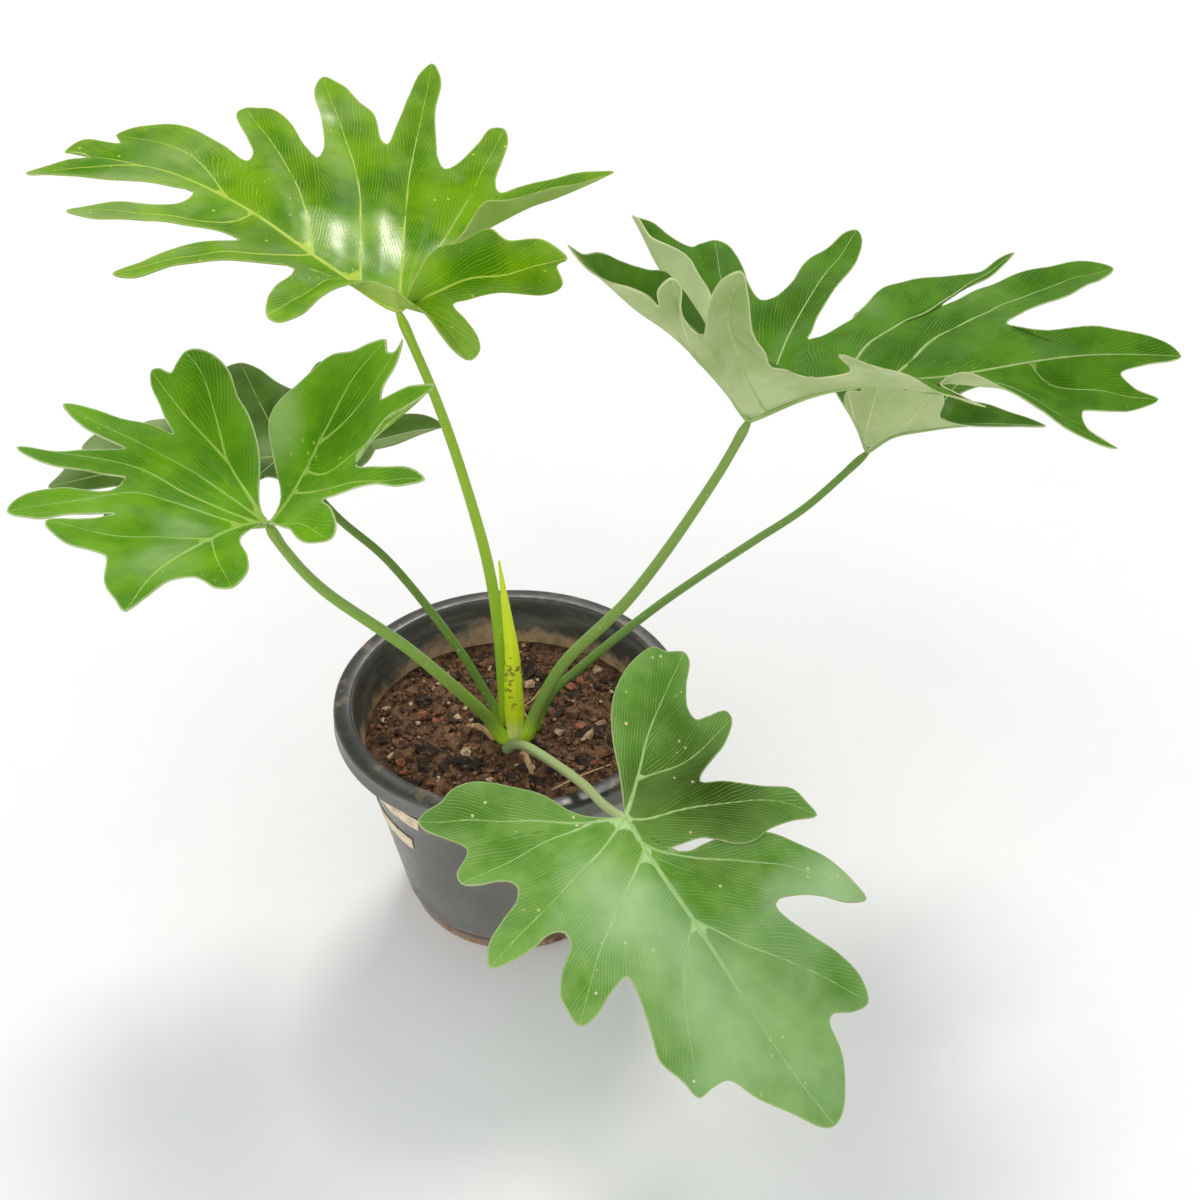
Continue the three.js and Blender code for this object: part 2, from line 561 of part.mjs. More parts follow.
// A stalk from the crown to its blade's seat: the underside of the ribs at the junction.
function stalkGeometry({ route, foot, waist, head }, seat) {
  const end = seat.point.clone().addScaledVector(seat.normal, -GAP);
  const radiusAt = (share) => (share < STALK.footShare
    ? lerp(foot, waist, smoothstep(share, 0, STALK.footShare))
    : lerp(waist, head, (share - STALK.footShare) / (1 - STALK.footShare)));
  const { sides, steps } = STALK;
  const ends = { footNormal: UP, headNormal: seat.normal };
  return rod({ route: [...route, end.toArray()], radiusAt, sides, steps, ...ends });
}

function spearGeometry() {
  const { route, radii, flatten } = SPEAR;
  const radiusAt = (share) => {
    const place = share * (radii.length - 1);
    const index = Math.min(Math.floor(place), radii.length - 2);
    return lerp(radii[index], radii[index + 1], place - index);
  };
  return rod({ route, radiusAt, sides: 10, steps: 12, footNormal: UP, flatten });
}

// One blade: a bent sheet cut into lobes, meshed half a lobe at a time between a vein and a margin.
class Blade {
  constructor(leaf) {
    this.leaf = leaf;
    const turn = degToRad(leaf.heading);
    this.along = new THREE.Vector3(Math.cos(turn), Math.sin(turn), 0);
    this.across = new THREE.Vector3(-Math.sin(turn), Math.cos(turn), 0);
    this.midrib = curveThrough([[0, 0], ...leaf.midrib].map(point));
    this.points = [];
    this.depths = [];
    this.faces = [];
    this.numbers = new Map();
  }

  // The height of the bent surface over the junction.
  surface(u, v) {
    const { rise, arch, back, backArch, left, leftCurl, right, rightCurl } = this.leaf.bend;
    const soft = (x) => Math.hypot(x, BLADE.foldRadius) - BLADE.foldRadius;
    const lengthwise = u > 0 ? rise * soft(u) + arch * u * u : back * soft(u) + backArch * u * u;
    const sideways = v > 0 ? left * soft(v) + leftCurl * v * v : right * soft(v) + rightCurl * v * v;
    return lengthwise + sideways;
  }

  place(p) {
    return point(this.leaf.junction)
      .addScaledVector(this.along, p.x)
      .addScaledVector(this.across, p.y)
      .add(new THREE.Vector3(0, 0, this.surface(p.x, p.y) + p.z));
  }

  // The number of the sheet's point at p, which gets the deepest rib that any line through it has.
  number(p, depth = 0) {
    const key = [p.x, p.y, p.z].map((value) => Math.round(value * 100)).join(" ");
    if (!this.numbers.has(key)) {
      this.numbers.set(key, this.points.length);
      this.points.push(this.place(p));
      this.depths.push(depth);
    }
    const number = this.numbers.get(key);
    this.depths[number] = Math.max(this.depths[number], depth);
    return number;
  }

  // A point of the rib: ahead of the junction on the midrib, behind it on the side's hind rib.
  ribPoint(side, station) {
    if (station >= 0) return this.midrib.getPointAt(Math.min(station, 1));
    return point(side.hindRib).multiplyScalar(-station);
  }

  ribNumber(side, station) {
    return this.number(this.ribPoint(side, station), BLADE.midrib * (1 - 0.6 * Math.abs(station)));
  }

  // The rib's points from one station back to another, with every station between them.
  ribRun(side, from, to) {
    const between = [...this.stations, ...side.stations].filter((station) => station < from && station > to);
    const run = [...new Set([from, ...between, to])].sort((a, b) => b - a);
    return run.map((station) => this.ribNumber(side, station));
  }

  addFace(a, b, c, flip) {
    if (a === b || b === c || a === c) return;
    this.faces.push(flip ? [a, c, b] : [a, b, c]);
  }

  // Half a lobe: `base` runs along the rib from the vein's root to the seam.
  addHalf(vein, base, edge, flip) {
    for (let i = 0; i + 1 < base.length; i += 1) this.addFace(vein[1], base[i], base[i + 1], flip);
    this.addFace(vein[1], edge[0], edge[1], flip);
    for (let row = 1; row + 1 < vein.length; row += 1) {
      this.addFace(vein[row], edge[row], edge[row + 1], flip);
      this.addFace(vein[row], edge[row + 1], vein[row + 1], flip);
    }
  }

  // The half beside the junction: its seam has no length, and its first margin point sees the whole rib.
  addInnerHalf(vein, base, edge, flip) {
    const hub = edge[BLADE.seamRows + 1];
    for (let i = 0; i + 1 < base.length; i += 1) this.addFace(hub, base[i], base[i + 1], flip);
    for (let row = 0; row <= BLADE.seamRows; row += 1) this.addFace(hub, vein[row + 1], vein[row], flip);
    for (let row = BLADE.seamRows + 1; row + 1 < vein.length; row += 1) {
      this.addFace(vein[row], edge[row], edge[row + 1], flip);
      this.addFace(vein[row], edge[row + 1], vein[row + 1], flip);
    }
  }

  // The rows of a vein: even from its root to the level of its notches, and even from there to its tip.
  veinRows(curve, notches, rows, depth) {
    const shares = Array.from({ length: 41 }, (_, i) => i / 40);
    const levels = notches.map((notch) => {
      const gap = (share) => curve.getPointAt(share).distanceTo(notch);
      return shares.reduce((best, share) => (gap(share) < gap(best) ? share : best), 0);
    });
    const level = clamp(levels.reduce((sum, value) => sum + value, 0) / levels.length, 0.15, 0.8);
    const numbers = [];
    for (let row = 0; row <= BLADE.seamRows + rows; row += 1) {
      const share = row <= BLADE.seamRows
        ? (level * row) / BLADE.seamRows
        : level + ((1 - level) * (row - BLADE.seamRows)) / rows;
      numbers.push(this.number(curve.getPointAt(share), depth * (1 - share)));
    }
    return numbers;
  }

  // The rows of an edge: the seam from the rib to the notch, then the margin from there to the tip.
  edgeRows(start, margin, rows) {
    const numbers = [];
    for (let row = 0; row <= BLADE.seamRows; row += 1) {
      numbers.push(this.number(start.clone().lerp(margin[0], row / BLADE.seamRows)));
    }
    const curve = curveThrough(margin);
    for (let row = 1; row <= rows; row += 1) numbers.push(this.number(curve.getPoint(row / rows)));
    return numbers;
  }

  marginRows(...margins) {
    return clamp(Math.max(...margins.map((margin) => margin.length)), 3, BLADE.maxRows);
  }

  addTip(sides) {
    const root = Math.max(...sides.map((side) => side.seams[0]));
    const share = Array.from({ length: 5 }, (_, i) => lerp(root, 1, i / 4));
    const curve = curveThrough(share.map((value) => this.midrib.getPointAt(value)));
    const tip = this.midrib.getPointAt(1);
    const margins = sides.map((side) => [
      point(side.tipNotch), ...side.tipMargin.map(point).reverse(), tip]);
    const rows = this.marginRows(...margins);
    const vein = this.veinRows(curve, sides.map((side) => point(side.tipNotch)), rows,
      BLADE.midrib * (1 - 0.6 * root));
    sides.forEach((side, index) => {
      const base = this.ribRun(side, root, side.seams[0]);
      const edge = this.edgeRows(this.ribPoint(side, side.seams[0]), margins[index], rows);
      this.addHalf(vein, base, edge, index === 1);
    });
  }

  addLobe(side, index, isLeft) {
    const lobe = side.lobes[index];
    const isLast = index === side.lobes.length - 1;
    const tip = point(lobe.tip);
    const root = this.ribPoint(side, lobe.root);
    const junction = new THREE.Vector3();
    const before = point(index === 0 ? side.tipNotch : side.lobes[index - 1].notch);
    const after = isLast ? junction : point(lobe.notch);
    const fore = [before, ...lobe.fore.map(point), tip];
    const back = [after, ...lobe.back.map(point).reverse(), tip];
    const rows = this.marginRows(fore, back);
    const curve = curveThrough([root, ...(lobe.vein ?? []).map(point), tip]);
    const vein = this.veinRows(curve, isLast ? [before] : [before, after], rows, BLADE.vein);
    const seamBefore = side.seams[index];
    const seamAfter = isLast ? 0 : side.seams[index + 1];
    const foreBase = this.ribRun(side, seamBefore, lobe.root).reverse();
    const foreEdge = this.edgeRows(this.ribPoint(side, seamBefore), fore, rows);
    this.addHalf(vein, foreBase, foreEdge, !isLeft);
    const backBase = isLast
      ? this.ribRun(side, 0, lobe.root).reverse()
      : this.ribRun(side, lobe.root, seamAfter);
    const backEdge = this.edgeRows(this.ribPoint(side, seamAfter), back, rows);
    if (isLast) this.addInnerHalf(vein, backBase, backEdge, isLeft);
    else this.addHalf(vein, backBase, backEdge, isLeft);
  }

  // The sheet thickened to both sides, with a wall along its rim.
  thicken() {
    const sheet = geometryOf(this.points, this.faces);
    const normals = sheet.attributes.normal;
    const count = this.points.length;
    const half = BLADE.thickness / 2;
    const normal = (i) => new THREE.Vector3().fromBufferAttribute(normals, i);
    const offset = (sign) => this.points.map((p, i) => (
      p.clone().addScaledVector(normal(i), sign > 0 ? half : -half - this.depths[i])));
    const middle = this.number(new THREE.Vector3());
    this.seat = { point: offset(-1)[middle], normal: normal(middle) };
    const faces = this.faces.flatMap(([a, b, c]) => [[a, b, c], [a + count, c + count, b + count]]);
    const edges = new Set(this.faces.flatMap(([a, b, c]) => [`${a} ${b}`, `${b} ${c}`, `${c} ${a}`]));
    for (const edge of edges) {
      const [a, b] = edge.split(" ").map(Number);
      if (!edges.has(`${b} ${a}`)) faces.push([b, a, a + count], [b, a + count, b + count]);
    }
    return geometryOf([...offset(1), ...offset(-1)], faces);
  }

  build() {
    const sides = [this.leaf.right, this.leaf.left].map((side) => {
      const roots = side.lobes.map((lobe) => lobe.root);
      const seams = roots.map((root, i) => (
        i === 0 ? Math.min(0.93, root + 0.12) : (root + roots[i - 1]) / 2));
      return { ...side, seams, roots, stations: [...roots, ...seams, 0].filter((station) => station <= 0) };
    });
    this.stations = sides.flatMap((side) => [...side.roots, ...side.seams]).filter((station) => station > 0);
    this.addTip(sides);
    sides.forEach((side, sideIndex) => {
      side.lobes.forEach((_, index) => this.addLobe(side, index, sideIndex === 1));
    });
    return this.thicken();
  }
}

const model = new THREE.Group();
model.name = "potted_lacy_tree_philodendron";

function addPart(name, geometry, [colour, roughness]) {
  const material = new THREE.MeshStandardMaterial({ color: colour, roughness, metalness: 0 });
  const mesh = new THREE.Mesh(geometry, material);
  mesh.name = name;
  model.add(mesh);
}

addPart("pot", potGeometry(), LOOK.pot);
addPart("soil", soilGeometry(), LOOK.soil);
addPart("crown", crownGeometry(), LOOK.crown);
addPart("spear", spearGeometry(), LOOK.spear);
for (const strip of LABEL_STRIPS) addPart(strip.name, labelGeometry(strip), LOOK.label);
for (const [index, leaf] of LEAVES.entries()) {
  const blade = new Blade(leaf);
  const stalk = STALKS[index];
  addPart(leaf.name, blade.build(), [leaf.colour, 0.35]);
  addPart(stalk.name, stalkGeometry(stalk, blade.seat), [stalk.colour, 0.4]);
}

export default model;
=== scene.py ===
"""Looks of a potted lacy tree philodendron: lobed blades on long stalks in a black nursery pot.

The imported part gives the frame. Sizes are millimetres in the tables below, in the part's own frame: the pot's
axis is Z, its base lies on Z = 0 and the viewer stands on the -Y side. Shaders work in metres, so a pattern's
scale counts its cells in a metre: 24 gives patches about 42 mm across, and 230 grains of about 4 mm.
"""

import logging
import math
import random
from collections.abc import Callable
from dataclasses import dataclass, field
from enum import Enum

import bmesh
import bpy
import numpy as np
from mathutils import Matrix, Vector, noise
from mathutils.kdtree import KDTree


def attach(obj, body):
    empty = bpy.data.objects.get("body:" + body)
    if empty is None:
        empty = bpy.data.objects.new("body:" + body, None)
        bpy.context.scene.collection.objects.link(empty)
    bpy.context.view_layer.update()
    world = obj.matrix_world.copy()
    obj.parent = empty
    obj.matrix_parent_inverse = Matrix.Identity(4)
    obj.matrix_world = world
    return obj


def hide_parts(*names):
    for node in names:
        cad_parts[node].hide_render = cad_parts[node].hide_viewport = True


Socket = bpy.types.NodeSocket
Material = bpy.types.Material
Piece = bpy.types.Object

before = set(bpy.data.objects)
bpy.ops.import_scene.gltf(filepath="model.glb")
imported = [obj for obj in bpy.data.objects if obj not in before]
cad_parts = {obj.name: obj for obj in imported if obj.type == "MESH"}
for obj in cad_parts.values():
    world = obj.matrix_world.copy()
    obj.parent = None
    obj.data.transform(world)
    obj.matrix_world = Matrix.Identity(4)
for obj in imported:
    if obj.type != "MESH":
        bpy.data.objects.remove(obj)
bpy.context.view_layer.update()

MM = 0.001
FULL_TURN = 2 * math.pi
ABOUT_A_TURN = 6.28
log = logging.getLogger("philodendron")


class Side(Enum):
    """A half of a blade, seen from above with its tip ahead."""

    LEFT = 1
    RIGHT = -1


@dataclass(frozen=True)
class Lobe:
    """One lobe: its vein's root on the rib, and its outline from the notch before it to its own notch.

    A root is a share of the midrib's length, or, below 0, of the hind rib's. Points are (along, across, lift)
    in mm: along the midrib, to its left, and above the blade's bent surface. The last lobe has no notch of
    its own and ends at the junction. The seam behind a lobe starts on the rib half way to the next root, or
    at the given station.
    """

    root: float
    fore: list[tuple]
    tip: tuple
    back: list[tuple]
    notch: tuple | None = None
    vein: list[tuple] = field(default_factory=list)
    seam: float | None = None


@dataclass(frozen=True)
class HalfBlade:
    """The lobes on one side of the midrib, from the tip back to the junction."""

    hind_rib: tuple
    tip_margin: list[tuple]
    tip_notch: tuple
    lobes: list[Lobe]


@dataclass(frozen=True)
class Bend:
    """The bent surface of a blade: slopes and arches ahead, behind, to the left and to the right."""

    rise: float
    arch: float
    back: float
    back_arch: float
    left: float
    left_curl: float
    right: float
    right_curl: float
    fold_radius: float = 15

    def height(self, along: np.ndarray, across: np.ndarray) -> np.ndarray:
        """Height of the surface over the junction.

        Args:
            along: distances along the midrib in mm.
            across: distances to its left in mm.

        Returns:
            Heights in mm.
        """
        soft_along = np.hypot(along, self.fold_radius) - self.fold_radius
        soft_across = np.hypot(across, self.fold_radius) - self.fold_radius
        lengthwise = np.where(along > 0, self.rise * soft_along + self.arch * along**2,
                              self.back * soft_along + self.back_arch * along**2)
        sideways = np.where(across > 0, self.left * soft_across + self.left_curl * across**2,
                            self.right * soft_across + self.right_curl * across**2)
        return lengthwise + sideways


def blend(first: np.ndarray, last: np.ndarray, low: float, high: float, at: float) -> np.ndarray:
    """The point between two others at a knot that lies between theirs."""
    return (first * (high - at) + last * (at - low)) / (high - low)


def smooth_curve(points: list[tuple] | np.ndarray, shares: np.ndarray) -> np.ndarray:
    """Points on the centripetal Catmull-Rom curve through the given ones.

    Args:
        points: the points to pass through, each of two or three numbers.
        shares: places along the curve, from 0 to 1 of its chord length.

    Returns:
        One point of three numbers per share.
    """
    points = np.array([(*p, 0)[:3] for p in points], float)
    if len(points) == 2:
        return points[0] + np.outer(shares, points[1] - points[0])
    chords = np.linalg.norm(np.diff(points, axis=0), axis=1)
    reach = np.concatenate([[0], np.cumsum(chords)])
    ghosts = np.vstack([2 * points[0] - points[1], points, 2 * points[-1] - points[-2]])
    steps = np.sqrt(np.linalg.norm(np.diff(ghosts, axis=0), axis=1))
    knots = np.concatenate([[0], np.cumsum(steps)])
    found = []
    for share in shares:
        place = min(max(share, 0), 1) * reach[-1]
        span = min(int(np.searchsorted(reach, place, side="right")) - 1, len(chords) - 1)
        four, knot = list(ghosts[span:span + 4]), knots[span:span + 4]
        at = knot[1] + (place - reach[span]) / chords[span] * (knot[2] - knot[1])
        for order in (1, 2):
            four = [blend(four[i], four[i + 1], knot[i], knot[i + order], at) for i in range(len(four) - 1)]
        found.append(blend(four[0], four[1], knot[1], knot[2], at))
    return np.array(found)


def spaced(count: int) -> np.ndarray:
    """Shares from 0 to 1 in that many steps."""
    return np.linspace(0, 1, count + 1)


def length_of(line: np.ndarray) -> np.ndarray:
    """Length along a line of points at each of them."""
    return np.concatenate([[0], np.cumsum(np.linalg.norm(np.diff(line, axis=0), axis=1))])


def nearest(points: np.ndarray, line: np.ndarray) -> tuple[np.ndarray, np.ndarray]:
    """Distance of each point to the nearest of a line's points, and that point's number."""
    gaps = np.full(len(points), np.inf)
    which = np.zeros(len(points), int)
    batch = 256
    for start in range(0, len(line), batch):
        part = np.linalg.norm(points[:, None, :] - line[None, start:start + batch, :], axis=2)
        best = part.argmin(axis=1)
        value = part[np.arange(len(points)), best]
        closer = value < gaps
        gaps[closer] = value[closer]
        which[closer] = best[closer] + start
    return gaps, which


def placed_grid(bm: bmesh.types.BMesh, points: np.ndarray) -> list[bmesh.types.BMVert]:
    """A grid of faces whose vertices lie on the given rows of points.

    Args:
        bm: the mesh that it is added to.
        points: rows by columns by 3, in metres; seen from the front, rows lead up and columns to the right.

    Returns:
        Its vertices, row by row.
    """
    rows, columns = points.shape[:2]
    made = bmesh.ops.create_grid(bm, x_segments=columns - 1, y_segments=rows - 1, size=1)["verts"]
    made.sort(key=lambda v: (round(v.co.y, 5), round(v.co.x, 5)))
    for vert, place in zip(made, points.reshape(-1, 3)):
        vert.co = place
    return made


def add_tube(bm: bmesh.types.BMesh, centres: np.ndarray, radii: np.ndarray, sides: int = 12,
             flatten: float = 1, relief: Callable[[float, float], float] | None = None) -> None:
    """A closed rod along a line of points, with its turns and length in the UV map "length".

    Args:
        bm: the mesh that it is added to.
        centres: the line in metres.
        radii: the radius at each of its points, in metres.
        sides: faces around it.
        flatten: its thickness across the second cross direction, as a share.
        relief: factor on the radius by the share of a turn and of the length.
    """
    tangents = np.gradient(centres, axis=0)
    tangents /= np.linalg.norm(tangents, axis=1)[:, None]
    first_side = (0.1, 1, 0)
    normals = [np.cross(tangents[0], first_side)]
    for tangent in tangents:
        side = normals[-1] - tangent * (normals[-1] @ tangent)
        normals.append(side / np.linalg.norm(side))
    normals = np.array(normals[1:])
    others = np.cross(tangents, normals)
    turns = spaced(sides)
    angle = FULL_TURN * turns[None, :, None]
    ring = np.cos(angle) * normals[:, None, :] + flatten * np.sin(angle) * others[:, None, :]
    shares = spaced(len(centres) - 1)
    scale = np.array([[relief(turn % 1, share) if relief else 1 for turn in turns] for share in shares])
    verts = placed_grid(bm, centres[:, None, :] + ring * (radii[:, None] * scale)[:, :, None])
    uv = bm.loops.layers.uv.get("length") or bm.loops.layers.uv.new("length")
    lengths = length_of(centres)
    place = {vert: (turns[i % (sides + 1)], lengths[i // (sides + 1)]) for i, vert in enumerate(verts)}
    for face in {face for vert in verts for face in vert.link_faces}:
        for loop in face.loops:
            loop[uv].uv = place[loop.vert]
    bmesh.ops.remove_doubles(bm, verts=verts, dist=1e-7)
    kept = [vert for vert in verts if vert.is_valid]
    rims = {edge for vert in kept for edge in vert.link_edges if edge.is_boundary}
    bmesh.ops.holes_fill(bm, edges=list(rims), sides=sides + 1)
    bmesh.ops.recalc_face_normals(bm, faces=list({face for vert in kept for face in vert.link_faces}))


def finished_piece(name: str, bm: bmesh.types.BMesh, *materials: Material) -> Piece:
    """A smooth-shaded piece at the origin from a finished mesh.

    Args:
        name: the piece's name.
        bm: its mesh, which is freed.
        materials: its material slots in order.

    Returns:
        The piece, which rides on the root body.
    """
    mesh = bpy.data.meshes.new(name)
    bm.to_mesh(mesh)
    bm.free()
    for material in materials:
        mesh.materials.append(material)
    mesh.polygons.foreach_set("use_smooth", [True] * len(mesh.polygons))
    piece = bpy.data.objects.new(name, mesh)
    bpy.context.scene.collection.objects.link(piece)
    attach(piece, "root")
    return piece


def linear(code: str) -> tuple[float, float, float, float]:
    """The linear colour that a shader takes, from an sRGB hex code."""
    parts = [int(code[i:i + 2], 16) / 255 for i in (1, 3, 5)]
    return (*(p / 12.92 if p <= 0.04045 else ((p + 0.055) / 1.055) ** 2.4 for p in parts), 1.0)


# Settings of the two kinds of node that are used the most. A MapRange takes its value as input 0 and its
# ranges as 1 to 4. A Mix of colours takes its share as input 0 and the colours as 6 and 7.
SMOOTH = {"interpolation_type": "SMOOTHSTEP"}
COLOURS = {"output": 2, "data_type": "RGBA"}


class Nodes:
    """The nodes of one material around its Principled shader."""

    def __init__(self, name: str) -> None:
        """Starts a material of that name."""
        self.material = bpy.data.materials.new(name)
        self.material.use_nodes = True
        self.tree = self.material.node_tree
        self.shader = self.tree.nodes["Principled BSDF"]

    def feed(self, node: bpy.types.Node, inputs: dict) -> None:
        """Sets a node's inputs, by name or number, from sockets, numbers, tuples or hex colours."""
        for key, value in inputs.items():
            if isinstance(value, Socket):
                self.tree.links.new(value, node.inputs[key])
            else:
                node.inputs[key].default_value = linear(value) if isinstance(value, str) else value

    def add(self, kind: str, inputs: dict | None = None, output: int | str = 0, **settings: object) -> Socket:
        """Adds a node with its settings and links.

        Args:
            kind: its type, without the ShaderNode prefix.
            inputs: input name or number to the socket or value that it takes.
            output: name or number of the output that is wanted.
            settings: the node's own properties.

        Returns:
            The wanted output.
        """
        node = self.tree.nodes.new(f"ShaderNode{kind}")
        for key, value in settings.items():
            setattr(node, key, value)
        self.feed(node, inputs or {})
        return node.outputs[output]


@dataclass(frozen=True)
class BladeFinish:
    """One face of a leaf blade: living tissue under a natural wax, with pale veins and a pale margin.

    The tissue's two greens mottle each other, and its painted shade and painted sheen colours take over
    in patches that are listed per leaf. Towards the margin, over edge_width, the painted sheen colour comes
    in as a painted glow of light shining through the thin tissue, as strong as edge. The wax keeps it satin,
    and glossier where the painted sheen is. The side veins are a millimetre or so apart on the real leaf, too
    fine to show here, so they are drawn coarser: line_gap over slant gives about 2 mm.
    """

    name: str
    light: str
    deep: str
    shade: str
    vein: str
    margin: str
    painted_sheen: str
    painted_sheen_share: float = 0.3
    roughness: float = 0.35
    specular: float = 0.15
    gloss: float = 0.4
    lines: float = 0.35
    relief: float = 0.06
    dots: float = 0.0
    dot: str = "#c8d84a"
    edge: float = 0.2
    edge_width: float = 14
    line_gap: float = 8
    slant: float = 3.8

    def side_veins(self, nodes: Nodes, spot: Socket) -> Socket:
        """Fine parallel veins that leave the lobe's own vein at an acute angle.

        Args:
            nodes: the material's nodes.
            spot: the place on the piece.

        Returns:
            1 on a vein and 0 between the veins.
        """
        place = nodes.add("UVMap", uv_map="blade")
        along = nodes.add("SeparateXYZ", {0: place}, "X")
        across = nodes.add("SeparateXYZ", {0: place}, "Y")
        back = nodes.add("Math", {0: across, 1: self.slant}, operation="MULTIPLY")
        start = nodes.add("Math", {0: along, 1: back}, operation="SUBTRACT")
        turns = nodes.add("Math", {0: start, 1: self.line_gap * MM}, operation="DIVIDE")
        drift = nodes.add("TexNoise", {"Vector": spot, "Scale": 45, "Detail": 3, "Roughness": 0.6})
        turns = nodes.add("Math", {0: drift, 1: 2.2, 2: turns}, operation="MULTIPLY_ADD")
        number = nodes.add("Math", {0: turns}, operation="FLOOR")
        strength = nodes.add("TexWhiteNoise", {"W": number}, noise_dimensions="1D")
        strength = nodes.add("MapRange", {0: strength, 3: 0.35, 4: 1})
        part = nodes.add("Math", {0: turns}, operation="FRACT")
        part = nodes.add("Math", {0: part, 1: 0.5}, operation="SUBTRACT")
        part = nodes.add("Math", {0: part}, operation="ABSOLUTE")
        line = nodes.add("MapRange", {0: part, 1: 0.02, 2: 0.15, 3: 1, 4: 0}, **SMOOTH)
        return nodes.add("Math", {0: line, 1: strength}, operation="MULTIPLY")

    def tissue(self, nodes: Nodes, spot: Socket, rim: Socket) -> tuple[Socket, Socket]:
        """The green between the veins: mottled, with a painted glow at the margin and painted sheen or shade in
        patches.

        Args:
            nodes: the material's nodes.
            spot: the place on the piece.
            rim: the distance to the margin, in metres.

        Returns:
            The colour, and how strong the painted sheen is there, from 0 to 1.
        """
        patch = nodes.add("TexNoise", {"Vector": spot, "Scale": 24, "Detail": 5, "Roughness": 0.6})
        patch = nodes.add("MapRange", {0: patch, 1: 0.36, 2: 0.64}, **SMOOTH)
        # A painted glow of light shining through the thin margin, in the painted sheen colour.
        painted_edge_glow = nodes.add("MapRange", {0: rim, 1: 0, 2: self.edge_width * MM, 3: self.edge, 4: 0}, **SMOOTH)
        tone = nodes.add("Mix", {0: patch, 6: self.deep, 7: self.light}, **COLOURS)
        tone = nodes.add("Mix", {0: painted_edge_glow, 6: tone, 7: self.painted_sheen}, **COLOURS)
        # Painted sheen above 0 and painted shade below 0, in patches listed per leaf.
        painted_light_and_shade = nodes.add("Attribute", output="Fac", attribute_name="painted_light_and_shade")
        cloud = nodes.add("TexNoise", {"Vector": spot, "Scale": 30, "Detail": 3, "Roughness": 0.5})
        cloud = nodes.add("MapRange", {0: cloud, 1: 0.3, 2: 0.7, 3: -0.16, 4: 0.16})
        uneven = nodes.add("Math", {0: painted_light_and_shade, 1: cloud}, operation="ADD")
        # Below 0 the painted shade colour comes in. Above 0.12 the painted sheen colour comes in, and it also
        # makes the wax glossier.
        dull = nodes.add("MapRange", {0: uneven, 1: 0, 2: -1})
        pale = nodes.add("MapRange", {0: uneven, 1: 0.12, 2: 1})
        tone = nodes.add("Mix", {0: dull, 6: tone, 7: self.shade}, **COLOURS)
        share = nodes.add("Math", {0: pale, 1: self.painted_sheen_share}, operation="MULTIPLY")
        return nodes.add("Mix", {0: share, 6: tone, 7: self.painted_sheen}, **COLOURS), pale

    def veined(self, nodes: Nodes, spot: Socket, side: Socket, tone: Socket) -> Socket:
        """The tissue's colour with the side veins, stronger and weaker by place, and dry specks on it.

        Args:
            nodes: the material's nodes.
            spot: the place on the piece.
            side: 1 on a side vein and 0 between them.
            tone: the tissue's colour.

        Returns:
            The colour.
        """
        worn = nodes.add("TexNoise", {"Vector": spot, "Scale": 50, "Detail": 3})
        worn = nodes.add("MapRange", {0: worn, 1: 0.3, 2: 0.7, 3: 0.35 * self.lines, 4: self.lines})
        share = nodes.add("Math", {0: side, 1: worn}, operation="MULTIPLY")
        tone = nodes.add("Mix", {0: share, 6: tone, 7: self.vein}, **COLOURS)
        grit = nodes.add("TexVoronoi", {"Vector": spot, "Scale": 100})
        grit = nodes.add("MapRange", {0: grit, 1: 0.07, 2: 0.13, 3: self.dots, 4: 0}, **SMOOTH)
        share = nodes.add("TexNoise", {"Vector": spot, "Scale": 18, "Detail": 1})
        share = nodes.add("MapRange", {0: share, 1: 0.46, 2: 0.56}, **SMOOTH)
        share = nodes.add("Math", {0: grit, 1: share}, operation="MULTIPLY")
        return nodes.add("Mix", {0: share, 6: tone, 7: self.dot}, **COLOURS)

    def material(self) -> Material:
        """A leaf's waxed skin: a soft gloss over green tissue, with pale ribs, veins and margin in it."""
        nodes = Nodes(self.name)
        spot = nodes.add("TexCoord", output="Object")
        rim = nodes.add("Attribute", output="Fac", attribute_name="rim_gap")
        tone, pale = self.tissue(nodes, spot, rim)
        side = self.side_veins(nodes, spot)
        tone = self.veined(nodes, spot, side, tone)
        rib = nodes.add("Attribute", output="Fac", attribute_name="vein_widths")
        rib = nodes.add("MapRange", {0: rib, 1: 0.4, 2: 1.6, 3: 0.7, 4: 0}, **SMOOTH)
        margin = nodes.add("MapRange", {0: rim, 1: 0.3 * MM, 2: 1.1 * MM, 3: 0.75, 4: 0}, **SMOOTH)
        tone = nodes.add("Mix", {0: rib, 6: tone, 7: self.vein}, **COLOURS)
        tone = nodes.add("Mix", {0: margin, 6: tone, 7: self.margin}, **COLOURS)
        shine = nodes.add("MapRange", {0: pale, 3: self.roughness + 0.06, 4: self.roughness - 0.04})
        gloss = nodes.add("MapRange", {0: pale, 3: self.specular, 4: self.gloss})
        normal = nodes.add("Bump", {"Height": side, "Strength": 1, "Distance": -self.relief * MM})
        uneven = nodes.add("TexNoise", {"Vector": spot, "Scale": 90, "Detail": 3, "Roughness": 0.6})
        normal = nodes.add("Bump", {"Height": uneven, "Distance": 2.2 * self.relief * MM, "Normal": normal})
        nodes.feed(nodes.shader, {"Base Color": tone, "Roughness": shine, "Normal": normal,
                                  "Specular IOR Level": gloss})
        return nodes.material


